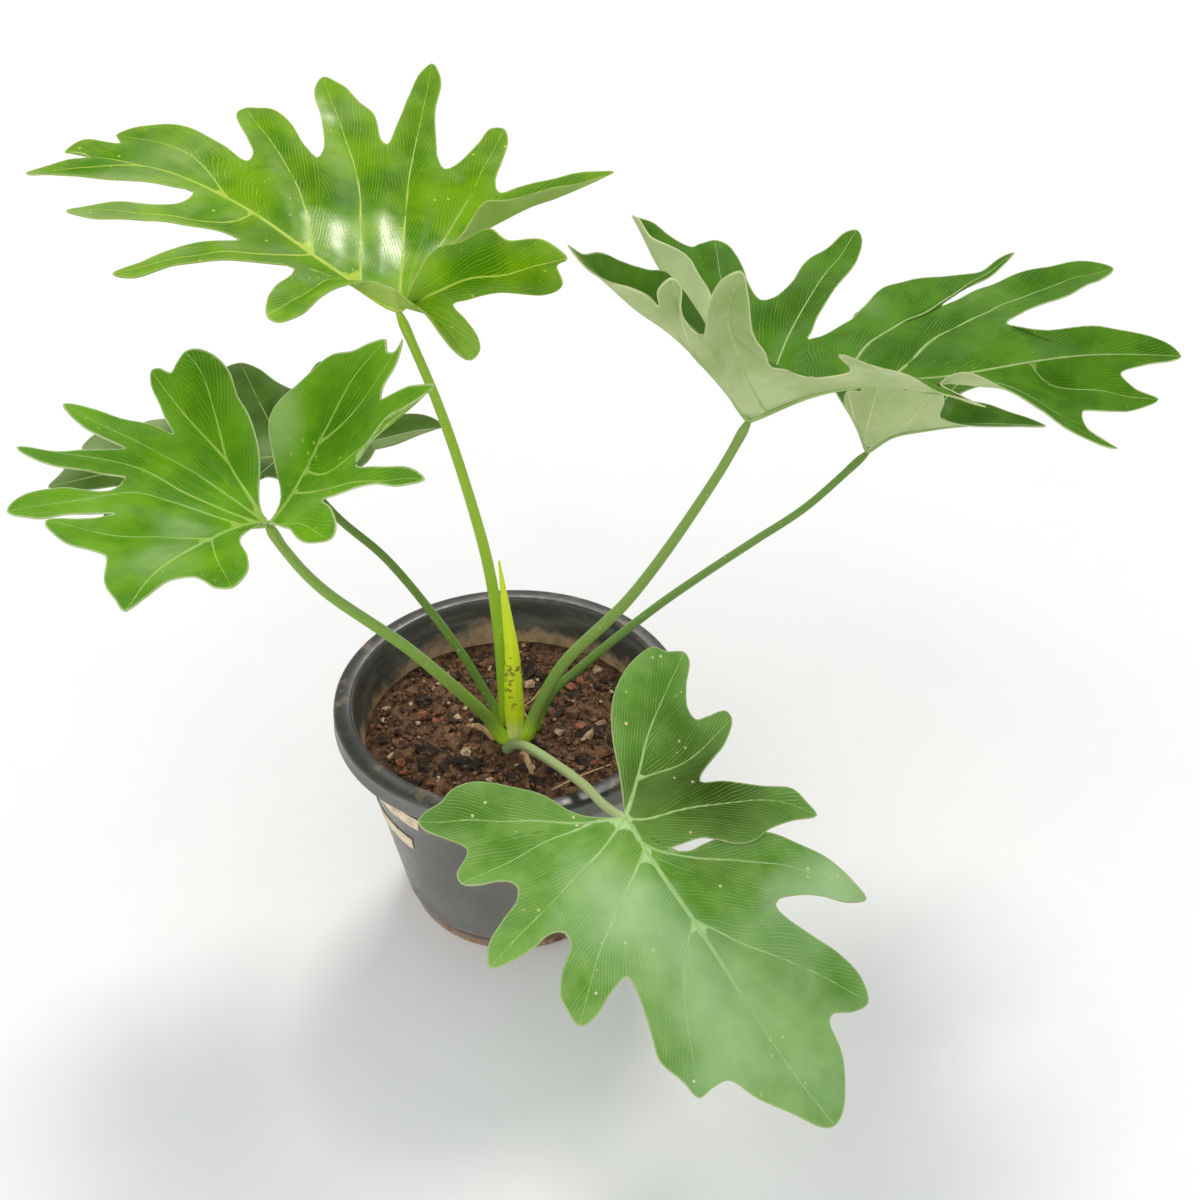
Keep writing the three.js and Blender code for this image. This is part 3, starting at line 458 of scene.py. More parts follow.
@dataclass(frozen=True)
class StalkFinish:
    """The skin of a fleshy stalk: smooth living tissue, with long fine grooves and pale flecks.

    It is juicy, so its highlight is soft and runs the whole length, and its colour turns towards the foot.
    The speck colour is the brown blotching of an old sheath.
    """

    name: str
    head: str
    foot: str
    streak: str
    roughness: float = 0.42
    grooves: float = 0.25
    fleck: str = "#c9cf9a"
    speck: str = "#7a5a2c"
    speck_share: float = 0.0
    speck_band: tuple = (0, 1000)
    foot_length: float = 26
    speck_fade: float = 8

    def material(self) -> Material:
        """A stalk's smooth skin, whose colour turns along its length: juicy, with a soft gloss."""
        nodes = Nodes(self.name)
        place = nodes.add("UVMap", uv_map="length")
        up = nodes.add("SeparateXYZ", {0: place}, "Y")
        share = nodes.add("MapRange", {0: up, 1: 4 * MM, 2: self.foot_length * MM}, **SMOOTH)
        tone = nodes.add("Mix", {0: share, 6: self.foot, 7: self.head}, **COLOURS)
        stretched = nodes.add("Mapping", {0: place, "Scale": (26, 5, 1)})
        lines = nodes.add("TexNoise", {"Vector": stretched, "Scale": 1, "Detail": 3, "Roughness": 0.6})
        share = nodes.add("MapRange", {0: lines, 1: 0.5, 2: 0.72, 4: 0.65}, **SMOOTH)
        tone = nodes.add("Mix", {0: share, 6: tone, 7: self.streak}, **COLOURS)
        spot = nodes.add("TexCoord", output="Object")
        dots = nodes.add("TexNoise", {"Vector": spot, "Scale": 300, "Detail": 2})
        share = nodes.add("MapRange", {0: dots, 1: 0.66, 2: 0.72, 4: 0.5}, **SMOOTH)
        tone = nodes.add("Mix", {0: share, 6: tone, 7: self.fleck}, **COLOURS)
        stained = nodes.add("TexNoise", {"Vector": spot, "Scale": 170, "Detail": 4, "Roughness": 0.7})
        share = nodes.add("MapRange", {0: stained, 1: 0.54, 2: 0.62, 4: self.speck_share}, **SMOOTH)
        (first, last), fade = self.speck_band, self.speck_fade
        after = nodes.add("MapRange", {0: up, 1: (first - fade) * MM, 2: (first + fade) * MM}, **SMOOTH)
        before = nodes.add("MapRange", {0: up, 1: (last - fade) * MM, 2: (last + fade) * MM, 3: 1, 4: 0},
                           **SMOOTH)
        share = nodes.add("Math", {0: share, 1: after}, operation="MULTIPLY")
        share = nodes.add("Math", {0: share, 1: before}, operation="MULTIPLY")
        tone = nodes.add("Mix", {0: share, 6: tone, 7: self.speck}, **COLOURS)
        grain = nodes.add("TexNoise", {"Vector": spot, "Scale": 90, "Detail": 3})
        low, high = self.roughness - 0.06, self.roughness + 0.08
        shine = nodes.add("MapRange", {0: grain, 1: 0.3, 2: 0.7, 3: low, 4: high})
        normal = nodes.add("Bump", {"Height": lines, "Distance": self.grooves * MM})
        nodes.feed(nodes.shader, {"Base Color": tone, "Roughness": shine, "Normal": normal,
                                  "Specular IOR Level": 0.3})
        return nodes.material


@dataclass(frozen=True)
class EarthFinish:
    """Damp potting mix, bark, brick or dry roots, as broken or grown.

    Three mottled tones in patches of the grains' own size, and a rough skin with hardly a highlight, make it
    read as matt, crumbly earth.
    """

    name: str
    dark: str
    middle: str
    light: str
    per_metre: float
    relief: float
    roughness: float = 0.92

    def material(self) -> Material:
        """Matt natural matter in three mottled tones, rough at the scale of its grains."""
        nodes = Nodes(self.name)
        spot = nodes.add("TexCoord", output="Object")
        coarse = nodes.add("TexNoise", {"Vector": spot, "Scale": self.per_metre, "Detail": 6,
                                        "Roughness": 0.65})
        share = nodes.add("MapRange", {0: coarse, 1: 0.35, 2: 0.6}, **SMOOTH)
        tone = nodes.add("Mix", {0: share, 6: self.dark, 7: self.middle}, **COLOURS)
        finer = nodes.add("TexNoise", {"Vector": spot, "Scale": self.per_metre * 2.6, "Detail": 5,
                                       "Roughness": 0.7})
        share = nodes.add("MapRange", {0: finer, 1: 0.54, 2: 0.72}, **SMOOTH)
        tone = nodes.add("Mix", {0: share, 6: tone, 7: self.light}, **COLOURS)
        normal = nodes.add("Bump", {"Height": coarse, "Distance": self.relief * MM})
        normal = nodes.add("Bump", {"Height": finer, "Distance": 0.6 * self.relief * MM, "Normal": normal})
        nodes.feed(nodes.shader, {"Base Color": tone, "Roughness": self.roughness, "Normal": normal,
                                  "Specular IOR Level": 0.25})
        return nodes.material


@dataclass(frozen=True)
class PotFinish:
    """Black polypropylene, injection moulded, scuffed and dusted with earth.

    The moulded skin is satin, so it holds a long soft highlight. A grey film dulls its outside, and dried
    earth warms the inside, the rim and the base. Heights are mm over the base, and radii are the wall's as
    they would be at its foot.
    """

    name: str = "moulded black polypropylene"
    black: str = "#2b2c2b"
    film: str = "#a09f95"
    dust: str = "#c2a27e"
    mud: str = "#6b4534"
    lean: float = 0.177
    outer_foot: tuple = (80.6, 81.5)
    inner_foot: tuple = (79.7, 80.3)
    rim_top: tuple = (176.5, 180.3)
    shelf: tuple = (176, 180.5)
    earth_line: tuple = (178, 189)
    ledge: tuple = (15.2, 16.2)
    over_ledge: tuple = (17.2, 20.5)
    mud_line: tuple = (2, 30)

    def filmed(self, nodes: Nodes, spot: Socket, height: Socket, foot: Socket, inside: Socket) -> Socket:
        """The black skin under its grey film, which is cloudy outside and streaked by water inside.

        Args:
            nodes: the material's nodes.
            spot: the place on the pot.
            height: its height in metres.
            foot: its radius as it would be at the wall's foot.
            inside: 1 on the wall's inside.

        Returns:
            The colour.
        """
        broad = nodes.add("TexNoise", {"Vector": spot, "Scale": 9, "Detail": 5, "Roughness": 0.6})
        cloudy = nodes.add("MapRange", {0: broad, 1: 0.35, 2: 0.7, 3: 0.3, 4: 0.55}, **SMOOTH)
        low, high = self.outer_foot
        share = nodes.add("MapRange", {0: foot, 1: low * MM, 2: high * MM, 3: 0.05, 4: 1}, **SMOOTH)
        low, high = self.rim_top
        rim = nodes.add("MapRange", {0: height, 1: low * MM, 2: high * MM, 3: 1, 4: 0.12}, **SMOOTH)
        share = nodes.add("Math", {0: share, 1: rim}, operation="MULTIPLY")
        share = nodes.add("Math", {0: share, 1: cloudy}, operation="MULTIPLY")
        tone = nodes.add("Mix", {0: share, 6: self.black, 7: self.film}, **COLOURS)
        streaks = nodes.add("Mapping", {0: spot, "Scale": (14, 14, 60)})
        streaks = nodes.add("TexNoise", {"Vector": streaks, "Scale": 1, "Detail": 6, "Roughness": 0.65})
        share = nodes.add("MapRange", {0: streaks, 1: 0.4, 2: 0.68, 3: 0.12, 4: 0.5}, **SMOOTH)
        share = nodes.add("Math", {0: share, 1: inside}, operation="MULTIPLY")
        return nodes.add("Mix", {0: share, 6: tone, 7: self.film}, **COLOURS)

    def earthed(self, nodes: Nodes, spot: Socket, height: Socket, worn: Socket, tone: Socket) -> Socket:
        """The skin, with rim dust, a ledge line of dust and painted highlight, and dried mud around the base.

        Args:
            nodes: the material's nodes.
            spot: the place on the pot.
            height: its height in metres.
            worn: the fine wear's noise.
            tone: the skin's colour.

        Returns:
            The colour.
        """
        share = nodes.add("TexNoise", {"Vector": spot, "Scale": 40, "Detail": 5, "Roughness": 0.7})
        share = nodes.add("MapRange", {0: share, 1: 0.52, 2: 0.72}, **SMOOTH)
        low, high = self.shelf
        shelf = nodes.add("MapRange", {0: height, 1: low * MM, 2: high * MM, 4: 0.45}, **SMOOTH)
        share = nodes.add("Math", {0: shelf, 1: share}, operation="MULTIPLY")
        tone = nodes.add("Mix", {0: share, 6: tone, 7: self.dust}, **COLOURS)
        # The pale line on the ledge: part dust, part painted highlight on the step's upper edge.
        low, high = self.ledge
        ledge = nodes.add("MapRange", {0: height, 1: low * MM, 2: high * MM}, **SMOOTH)
        low, high = self.over_ledge
        above = nodes.add("MapRange", {0: height, 1: low * MM, 2: high * MM, 3: 0.6, 4: 0}, **SMOOTH)
        share = nodes.add("Math", {0: ledge, 1: above}, operation="MULTIPLY")
        tone = nodes.add("Mix", {0: share, 6: tone, 7: self.film}, **COLOURS)
        low, high = self.mud_line
        base = nodes.add("MapRange", {0: height, 1: low * MM, 2: high * MM, 3: 1, 4: 0}, **SMOOTH)
        share = nodes.add("MapRange", {0: worn, 1: 0.45, 2: 0.62}, **SMOOTH)
        share = nodes.add("Math", {0: base, 1: share}, operation="MULTIPLY")
        return nodes.add("Mix", {0: share, 6: tone, 7: self.mud}, **COLOURS)

    def material(self) -> Material:
        """A satin moulded skin: earth dust clings inside and on the rim, and dried mud around the base."""
        nodes = Nodes(self.name)
        spot = nodes.add("TexCoord", output="Object")
        height = nodes.add("SeparateXYZ", {0: spot}, "Z")
        flat = nodes.add("VectorMath", {0: spot, 1: (1, 1, 0)}, operation="MULTIPLY")
        radius = nodes.add("VectorMath", {0: flat}, "Value", operation="LENGTH")
        foot = nodes.add("Math", {0: height, 1: -self.lean, 2: radius}, operation="MULTIPLY_ADD")
        low, high = self.inner_foot
        inside = nodes.add("MapRange", {0: foot, 1: low * MM, 2: high * MM, 3: 1, 4: 0}, **SMOOTH)
        worn = nodes.add("TexNoise", {"Vector": spot, "Scale": 70, "Detail": 6, "Roughness": 0.7})
        tone = self.filmed(nodes, spot, height, foot, inside)
        ragged = nodes.add("TexNoise", {"Vector": spot, "Scale": 26, "Detail": 6, "Roughness": 0.65})
        ragged = nodes.add("Math", {0: ragged, 1: 60 * MM, 2: height}, operation="MULTIPLY_ADD")
        low, high = self.earth_line
        lower = nodes.add("MapRange", {0: ragged, 1: low * MM, 2: high * MM, 3: 1, 4: 0}, **SMOOTH)
        caked = nodes.add("Math", {0: inside, 1: lower}, operation="MULTIPLY")
        share = nodes.add("MapRange", {0: worn, 1: 0.36, 2: 0.56, 3: 0.45}, **SMOOTH)
        caked = nodes.add("Math", {0: caked, 1: share}, operation="MULTIPLY")
        tone = nodes.add("Mix", {0: caked, 6: tone, 7: self.dust}, **COLOURS)
        tone = self.earthed(nodes, spot, height, worn, tone)
        dull = nodes.add("MapRange", {0: worn, 1: 0.3, 2: 0.7, 3: 0.26, 4: 0.42}, **SMOOTH)
        dull = nodes.add("Math", {0: caked, 1: 0.4, 2: dull}, operation="MULTIPLY_ADD")
        normal = nodes.add("Bump", {"Height": worn, "Distance": 0.12 * MM})
        nodes.feed(nodes.shader, {"Base Color": tone, "Roughness": dull, "Normal": normal, "IOR": 1.49})
        return nodes.material


@dataclass(frozen=True)
class PlainFinish:
    """A plain skin in two soft tones: coated label paper, a leaf's cut edge and ribs, or the studio's floor.

    It is even, so the form shows and no pattern draws the eye.
    """

    name: str
    clean: str
    stain: str
    per_metre: float
    roughness: float = 0.7
    relief: float = 0.1

    def material(self) -> Material:
        """A faintly uneven skin with no pattern of its own."""
        nodes = Nodes(self.name)
        spot = nodes.add("TexCoord", output="Object")
        cloud = nodes.add("TexNoise", {"Vector": spot, "Scale": self.per_metre, "Detail": 5,
                                       "Roughness": 0.65})
        share = nodes.add("MapRange", {0: cloud, 1: 0.42, 2: 0.68}, **SMOOTH)
        tone = nodes.add("Mix", {0: share, 6: self.clean, 7: self.stain}, **COLOURS)
        normal = nodes.add("Bump", {"Height": cloud, "Distance": self.relief * MM})
        nodes.feed(nodes.shader, {"Base Color": tone, "Roughness": self.roughness, "Normal": normal})
        return nodes.material


@dataclass(frozen=True)
class Grain:
    """How finely a blade is meshed, in mm and steps."""

    row: float = 3.0
    rows: tuple = (10, 48)
    columns: int = 9
    seam_rows: int = 8
    short_seam: float = 6
    notch_levels: tuple = (0.15, 0.8)
    tip_seam: float = 0.12
    last_tip_seam: float = 0.93
    rib_steps: int = 80
    hind_steps: int = 20
    vein_steps: int = 120
    margin_steps: int = 24
    margin_per_mm: float = 1.2
    rib_sides: int = 10
    dense_rib: int = 60


@dataclass
class Leaf:
    """A lobed blade: half a lobe at a time between a vein and a margin, then bent, ruffled and given ribs."""

    name: str
    junction: tuple
    heading: float
    bend: Bend
    midrib: list[tuple]
    right: HalfBlade
    left: HalfBlade
    thickness: float = 0.9
    ruffle: float = 2.6
    puff: float = 1.7
    puff_reach: float = 9
    midrib_widths: tuple = (1.7, 0.4)
    hind_widths: tuple = (1.5, 0.8)
    vein_width: float = 0.45
    vein_growth: float = 0.0035
    vein_tip: float = 0.2
    rib_proud: float = 0.25
    wave_length: float = 30
    calm_reach: float = 25
    # Patches of painted sheen (strength above 0) and painted shade (below 0): along, across, reach in mm,
    # strength.
    shades: list[tuple] = field(default_factory=list)
    grain: Grain = Grain()

    def rib_point(self, half: HalfBlade, station: float) -> np.ndarray:
        """A point of the rib: ahead of the junction on the midrib, behind it on the half's hind rib."""
        if station < 0:
            return -station * np.array((*half.hind_rib, 0)[:3], float)
        return smooth_curve([(0, 0), *self.midrib], np.array([min(station, 1)]))[0]

    def snapped(self, station: float) -> float:
        """The nearest station at which every half has a point on the rib."""
        steps = self.grain.rib_steps if station > 0 else self.grain.hind_steps
        return round(station * steps) / steps

    def rib_run(self, half: HalfBlade, first: float, last: float) -> np.ndarray:
        """The rib's points from one station to another."""
        low, high = min(first, last), max(first, last)
        ahead = [i / self.grain.rib_steps for i in range(self.grain.rib_steps + 1)]
        behind = [-i / self.grain.hind_steps for i in range(self.grain.hind_steps, 0, -1)]
        run = [station for station in behind + ahead if low - 1e-9 <= station <= high + 1e-9]
        if first > last:
            run.reverse()
        return np.array([self.rib_point(half, station) for station in run])

    def seams(self, half: HalfBlade) -> list[float]:
        """Stations on the rib where each lobe's seam with the one before it starts."""
        first = min(self.grain.last_tip_seam, half.lobes[0].root + self.grain.tip_seam)
        others = [(lobe.root + after.root) / 2 if lobe.seam is None else lobe.seam
                  for lobe, after in zip(half.lobes, half.lobes[1:])]
        return [self.snapped(value) for value in [first, *others]]

    def vein_shares(self, vein: np.ndarray, notches: list[np.ndarray], rows: int,
                    seam_rows: int) -> np.ndarray:
        """Shares of a vein's length at the patch rows, whose seam rows end level with its notches.

        Args:
            vein: dense points of the vein.
            notches: the notches on its two sides.
            rows: rows of the patch's margin part.
            seam_rows: rows of its seam part.

        Returns:
            Shares from 0 at the root to 1 at the tip.
        """
        levels = [nearest(notch[None], vein)[1][0] / (len(vein) - 1) for notch in notches]
        least, most = self.grain.notch_levels
        level = min(max(sum(levels) / len(levels), least), most)
        return np.concatenate([level * spaced(seam_rows), level + (1 - level) * spaced(rows)[1:]])

    def painted_light_and_shade(self, flat: np.ndarray) -> np.ndarray:
        """How strong the painted sheen (to 1) or painted shade (to -1) is at points of the flat frame, by its
        shades.

        A shade is the place along and across, its reach in mm and its strength.
        """
        value = np.zeros(len(flat))
        for along, across, reach, strength in self.shades:
            gap = np.hypot(flat[:, 0] - along, flat[:, 1] - across)
            value += strength * np.exp(-((gap / reach) ** 2))
        return np.clip(value, -1, 1)

    def add_half(self, bm: bmesh.types.BMesh, vein: np.ndarray, base: np.ndarray, edge: np.ndarray,
                 flip: bool) -> None:
        """Adds half a lobe in the flat frame.

        Args:
            bm: the blade's mesh.
            vein: the patch rows' points on the vein, from its root to the tip.
            base: the rib's points from the vein's root to the seam.
            edge: the rows' points on the seam and the margin.
            flip: whether the patch is laid out facing down.
        """
        columns = self.grain.columns
        across = spaced(columns)
        row_share = spaced(len(vein) - 1)
        at_base = np.column_stack([np.interp(across * length_of(base)[-1], length_of(base), base[:, i])
                                   for i in range(3)])
        straight = vein[0] + across[:, None] * (edge[0] - vein[0])
        grid = vein[:, None] + across[None, :, None] * (edge - vein)[:, None]
        grid = grid + ((1 - row_share) ** 4)[:, None, None] * (at_base - straight)[None]
        verts = placed_grid(bm, grid[1:] * MM)
        row_one = verts[:columns + 1]
        run = [bm.verts.new(point * MM) for point in base]
        strip = bm.faces.new(run + row_one[::-1])
        tangents = np.gradient(vein, axis=0)
        tangents /= np.linalg.norm(tangents, axis=1)[:, None]
        lengths = length_of(vein)
        uv = bm.loops.layers.uv["blade"]
        place = {}
        for i, vert in enumerate(verts + run):
            row = i // (columns + 1) + 1 if i < len(verts) else 0
            offset = np.array(vert.co) / MM - vein[row]
            along = float(offset @ tangents[row])
            side = float(np.linalg.norm(offset - along * tangents[row]))
            place[vert] = ((lengths[row] + along) * MM, side * MM)
        faces = {face for vert in verts for face in vert.link_faces}
        for face in faces:
            for loop in face.loops:
                loop[uv].uv = place[loop.vert]
        flipped = faces - {strip}
        bmesh.ops.recalc_face_normals(bm, faces=[strip])
        if strip.normal.z < 0:
            strip.normal_flip()
        bmesh.ops.triangulate(bm, faces=[strip])
        if flip:
            bmesh.ops.reverse_faces(bm, faces=list(flipped))

    def margin_lines(self) -> dict[Side, list[np.ndarray]]:
        """The blade's whole outline as one smooth line, cut where lobes meet and at their tips.

        Returns:
            Dense points per half: the tip's margin, then each lobe's fore and back, all towards a tip.
        """
        chain, cuts = [], {}
        for half, side in ((self.right, Side.RIGHT), (self.left, Side.LEFT)):
            points, marks = [*half.tip_margin, half.tip_notch], [0]
            marks.append(len(points))
            for lobe in half.lobes:
                points += [*lobe.fore, lobe.tip]
                marks.append(len(points))
                points += [*lobe.back, lobe.notch or (0, 0)]
                marks.append(len(points))
            tip = self.midrib[-1]
            if side is Side.RIGHT:
                chain = [*points[::-1], tip]
                middle = len(chain) - 1
                cuts[side] = [middle - mark for mark in marks]
            else:
                chain += points
                cuts[side] = [middle + mark for mark in marks]
        knots = np.array([(*p, 0)[:3] for p in chain], float)
        reach = length_of(knots)
        lines = {}
        for side, marks in cuts.items():
            lines[side] = []
            for number, (first, last) in enumerate(zip(marks, marks[1:])):
                span = abs(reach[last] - reach[first])
                steps = max(self.grain.margin_steps, int(span * self.grain.margin_per_mm))
                shares = np.linspace(reach[first], reach[last], steps) / reach[-1]
                line = smooth_curve(chain, shares)
                lines[side].append(line if number % 2 else line[::-1])
        return lines

    def edge_points(self, start: np.ndarray, margin: np.ndarray, shares: np.ndarray,
                    seam_rows: int) -> np.ndarray:
        """Points at the patch rows along a seam from the rib to the notch, then along the margin to the tip.

        Args:
            start: the seam's end on the rib. Where the margin begins close to it, both are one line.
            margin: dense points from the notch to the tip.
            shares: the vein's shares at the rows.
            seam_rows: how many of them are on the seam.

        Returns:
            A point per row.
        """
        seam = start + spaced(seam_rows)[:, None] * (margin[0] - start)
        place = (shares[seam_rows + 1:] - shares[seam_rows]) / (1 - shares[seam_rows])
        if np.linalg.norm(margin[0] - start) < self.grain.short_seam:
            seam, place, margin = seam[:0], shares, np.vstack([start, margin])
        reach = length_of(margin)
        return np.vstack([seam, np.column_stack([np.interp(place * reach[-1], reach, margin[:, i])
                                                 for i in range(3)])])

    def rows_for(self, *margins: np.ndarray) -> int:
        """Rows of a patch's margin part, by the longest of its margins."""
        longest = max(length_of(margin)[-1] for margin in margins)
        least, most = self.grain.rows
        return int(min(max(round(longest / self.grain.row), least), most))

    def add_sheet(self, bm: bmesh.types.BMesh) -> tuple[list, list]:
        """Adds every half lobe in the flat frame.

        Args:
            bm: the blade's mesh.

        Returns:
            The veins, each as dense points with its half widths at both ends, and the margins' points.
        """
        veins = []
        lines = self.margin_lines()
        halves = [(self.right, Side.RIGHT), (self.left, Side.LEFT)]
        root = max(self.seams(half)[0] for half, _ in halves)
        rows = self.rows_for(*(lines[side][0] for _, side in halves))
        ahead = self.rib_run(self.right, root, 1)
        seam_rows = self.grain.seam_rows
        shares = self.vein_shares(ahead, [lines[side][0][0] for _, side in halves], rows, seam_rows)
        vein = np.array([self.rib_point(self.right, root + (1 - root) * share) for share in shares])
        for half, side in halves:
            station = self.seams(half)[0]
            edge = self.edge_points(self.rib_point(half, station), lines[side][0], shares, seam_rows)
            self.add_half(bm, vein, self.rib_run(half, root, station), edge, side is Side.LEFT)
        veins.append((self.rib_run(self.right, 0, 1), *self.midrib_widths))
        for half, side in halves:
            veins.append((self.rib_run(half, 0, -1), *self.hind_widths))
            seams = [*self.seams(half), 0]
            for i, lobe in enumerate(half.lobes):
                last = i == len(half.lobes) - 1
                fore, back = lines[side][2 * i + 1], lines[side][2 * i + 2]
                rows = self.rows_for(fore, back)
                seam_rows = max(self.grain.seam_rows, rows // 2) if last else self.grain.seam_rows
                root = self.snapped(lobe.root)
                line = [tuple(self.rib_point(half, root)), *lobe.vein, lobe.tip]
                dense = smooth_curve(line, spaced(self.grain.vein_steps))
                notches = [fore[0]] if last else [fore[0], back[0]]
                shares = self.vein_shares(dense, notches, rows, seam_rows)
                vein = smooth_curve(line, shares)
                for station, margin, flip in ((seams[i], fore, side is Side.RIGHT),
                                              (seams[i + 1], back, side is Side.LEFT)):
                    edge = self.edge_points(self.rib_point(half, station), margin, shares, seam_rows)
                    self.add_half(bm, vein, self.rib_run(half, root, station), edge, flip)
                width = self.vein_width + self.vein_growth * length_of(dense)[-1]
                veins.append((dense, width, self.vein_tip))
        margins = [line for side in lines.values() for line in side]
        return veins, margins

    def bent(self, flat: np.ndarray, veins_gap: np.ndarray | float = 0) -> np.ndarray:
        """Points of the flat frame raised onto the bent, ruffled and puffed surface.

        Args:
            flat: points in mm: along, across and lift.
            veins_gap: distance of each to the nearest vein in mm.

        Returns:
            Points in mm in the leaf's own frame.
        """
        height = self.bend.height(flat[:, 0], flat[:, 1]) + flat[:, 2]
        rib_gap, _ = nearest(flat[:, :2], self.rib_run(self.right, 0, 1)[:, :2])
        places = flat[:, :2] / self.wave_length
        waves = np.array([noise.noise(Vector((*place, self.heading))) for place in places])
        height = height + self.ruffle * waves * np.minimum(1, rib_gap / self.calm_reach)
        height = height + self.puff * (1 - np.exp(-(np.asarray(veins_gap) / self.puff_reach) ** 2))
        return np.column_stack([flat[:, :2], height])

    @property
    def placement(self) -> Matrix:
        """The leaf's own frame in metres to the part's frame."""
        turn = Matrix.Rotation(math.radians(self.heading), 4, "Z")
        return Matrix.Translation(Vector(self.junction) * MM) @ turn

    def raise_sheet(self, bm: bmesh.types.BMesh, veins: list[tuple], margins: list[np.ndarray]) -> None:
        """Bends the flat sheet, and marks how near each vertex is to the veins and the margin.

        Args:
            bm: the blade's mesh, flat.
            veins: each vein's points and its half widths at both ends.
            margins: the margins' points.
        """
        flat = np.array([vert.co for vert in bm.verts]) / MM
        line = np.vstack([vein for vein, _, _ in veins])
        widths = np.concatenate([np.interp(spaced(len(vein) - 1), [0, 1], [wide, fine])
                                 for vein, wide, fine in veins])
        gaps, which = nearest(flat, line)
        rim_gaps, _ = nearest(flat, np.vstack(margins))
        width_layer = bm.verts.layers.float.new("vein_widths")
        rim_layer = bm.verts.layers.float.new("rim_gap")
        # Each vertex also carries the blade's painted sheen and painted shade, from its shades.
        painted_light_and_shade_layer = bm.verts.layers.float.new("painted_light_and_shade")
        bent = zip(bm.verts, self.bent(flat, gaps), gaps, which, rim_gaps, self.painted_light_and_shade(flat))
        for vert, place, gap, number, rim, painted_light_and_shade in bent:
            vert.co = place * MM
            vert[painted_light_and_shade_layer] = painted_light_and_shade
            vert[width_layer] = gap / widths[number]
            vert[rim_layer] = rim * MM

    def add_ribs(self, bm: bmesh.types.BMesh, veins: list[tuple], sheet: bmesh.types.BMesh) -> None:
        """Adds the ribs that stand out below the blade and just break through its upper side.

        Args:
            bm: the ribs' mesh.
            veins: each vein's points and its half widths at both ends.
            sheet: the bent blade, whose normals say which way is out.
        """
        near = KDTree(len(sheet.verts))
        for vert in sheet.verts:
            near.insert(vert.co, vert.index)
        near.balance()
        sheet.verts.ensure_lookup_table()
        around = 8
        for vein, wide, fine in veins:
            centres = self.bent(vein) * MM
            radii = np.interp(spaced(len(vein) - 1), [0, 1], [wide, fine])
            for i, centre in enumerate(centres):
                found = near.find_n(centre, around)
                normal = sum((sheet.verts[n].normal for _, n, _ in found), Vector()).normalized()
                proud = (self.thickness / 2 + self.rib_proud * radii[i] - radii[i]) * MM
                centres[i] = np.array(centre) + np.array(normal) * proud
            step = 2 if len(centres) > self.grain.dense_rib else 1
            add_tube(bm, centres[::step], radii[::step] * MM, self.grain.rib_sides)

    def build(self, faces: list[Material], rib: Material) -> list[Piece]:
        """The blade and its ribs.

        Args:
            faces: materials of the upper side, the underside and the rim.
            rib: material of the ribs.

        Returns:
            Both pieces.
        """
        bm = bmesh.new()
        bm.loops.layers.uv.new("blade")
        veins, margins = self.add_sheet(bm)
        bmesh.ops.remove_doubles(bm, verts=bm.verts[:], dist=2e-5)
        bmesh.ops.dissolve_degenerate(bm, edges=bm.edges[:], dist=1e-6)
        self.raise_sheet(bm, veins, margins)
        bm.normal_update()
        ribs = bmesh.new()
        self.add_ribs(ribs, veins, bm)
        for edge in bm.edges:
            edge.smooth = not edge.is_boundary
        for mesh in (bm, ribs):
            bmesh.ops.transform(mesh, matrix=self.placement, verts=mesh.verts[:])
        blade = finished_piece(self.name + "_blade", bm, *faces)
        shell = blade.modifiers.new("thickness", "SOLIDIFY")
        shell.thickness, shell.offset = self.thickness * MM, 0
        shell.material_offset, shell.material_offset_rim = 1, 2
        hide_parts(self.name)
        spine = finished_piece(self.name + "_ribs", ribs, rib)
        return [blade, spine]


@dataclass
class Stalk:
    """A long leaf stalk: thick at its foot, round, with a knee at the blade."""

    name: str
    foot: float
    waist: float
    head: float
    route: list[tuple]
    foot_share: float = 0.12
    knee_share: float = 0.965
    knee_reach: float = 0.02
    knee_swell: float = 0.12
    neck_share: float = 0.975
    neck_taper: float = 0.4
    sides: int = 20
    steps: int = 90

    def radius(self, share: float) -> float:
        """Radius in mm at a share of the length, with a slight knee just below the blade."""
        ramp = min(share / self.foot_share, 1)
        ramp = ramp * ramp * (3 - 2 * ramp)
        body = self.foot + (self.waist - self.foot) * ramp
        if share > self.foot_share:
            body += (self.head - self.waist) * (share - self.foot_share) / (1 - self.foot_share)
        close = min(max((share - self.neck_share) / (1 - self.neck_share), 0), 1)
        knee = 1 + self.knee_swell * math.exp(-((share - self.knee_share) / self.knee_reach) ** 2)
        return body * knee * (1 - self.neck_taper * close * close)

    def build(self, junction: tuple, material: Material) -> Piece:
        """The stalk from the crown to just below the blade's junction."""
        below = 1.2
        end = (junction[0], junction[1], junction[2] - below)
        line = smooth_curve([*self.route, end], spaced(self.steps))
        radii = np.array([self.radius(share) for share in spaced(self.steps)])
        bm = bmesh.new()
        seed = sum(map(ord, self.name))

        def relief(turn: float, share: float) -> float:
            """Slow lumps and five shallow flutes."""
            angle = FULL_TURN * turn
            spot = Vector((math.cos(angle), math.sin(angle), share * 5 + seed))
            return 1 + 0.025 * noise.noise(spot * 1.6) + 0.015 * math.cos(5 * angle + seed)

        add_tube(bm, line * MM, radii * MM, self.sides, relief=relief)
        piece = finished_piece(self.name + "_skin", bm, material)
        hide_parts(self.name)
        return piece


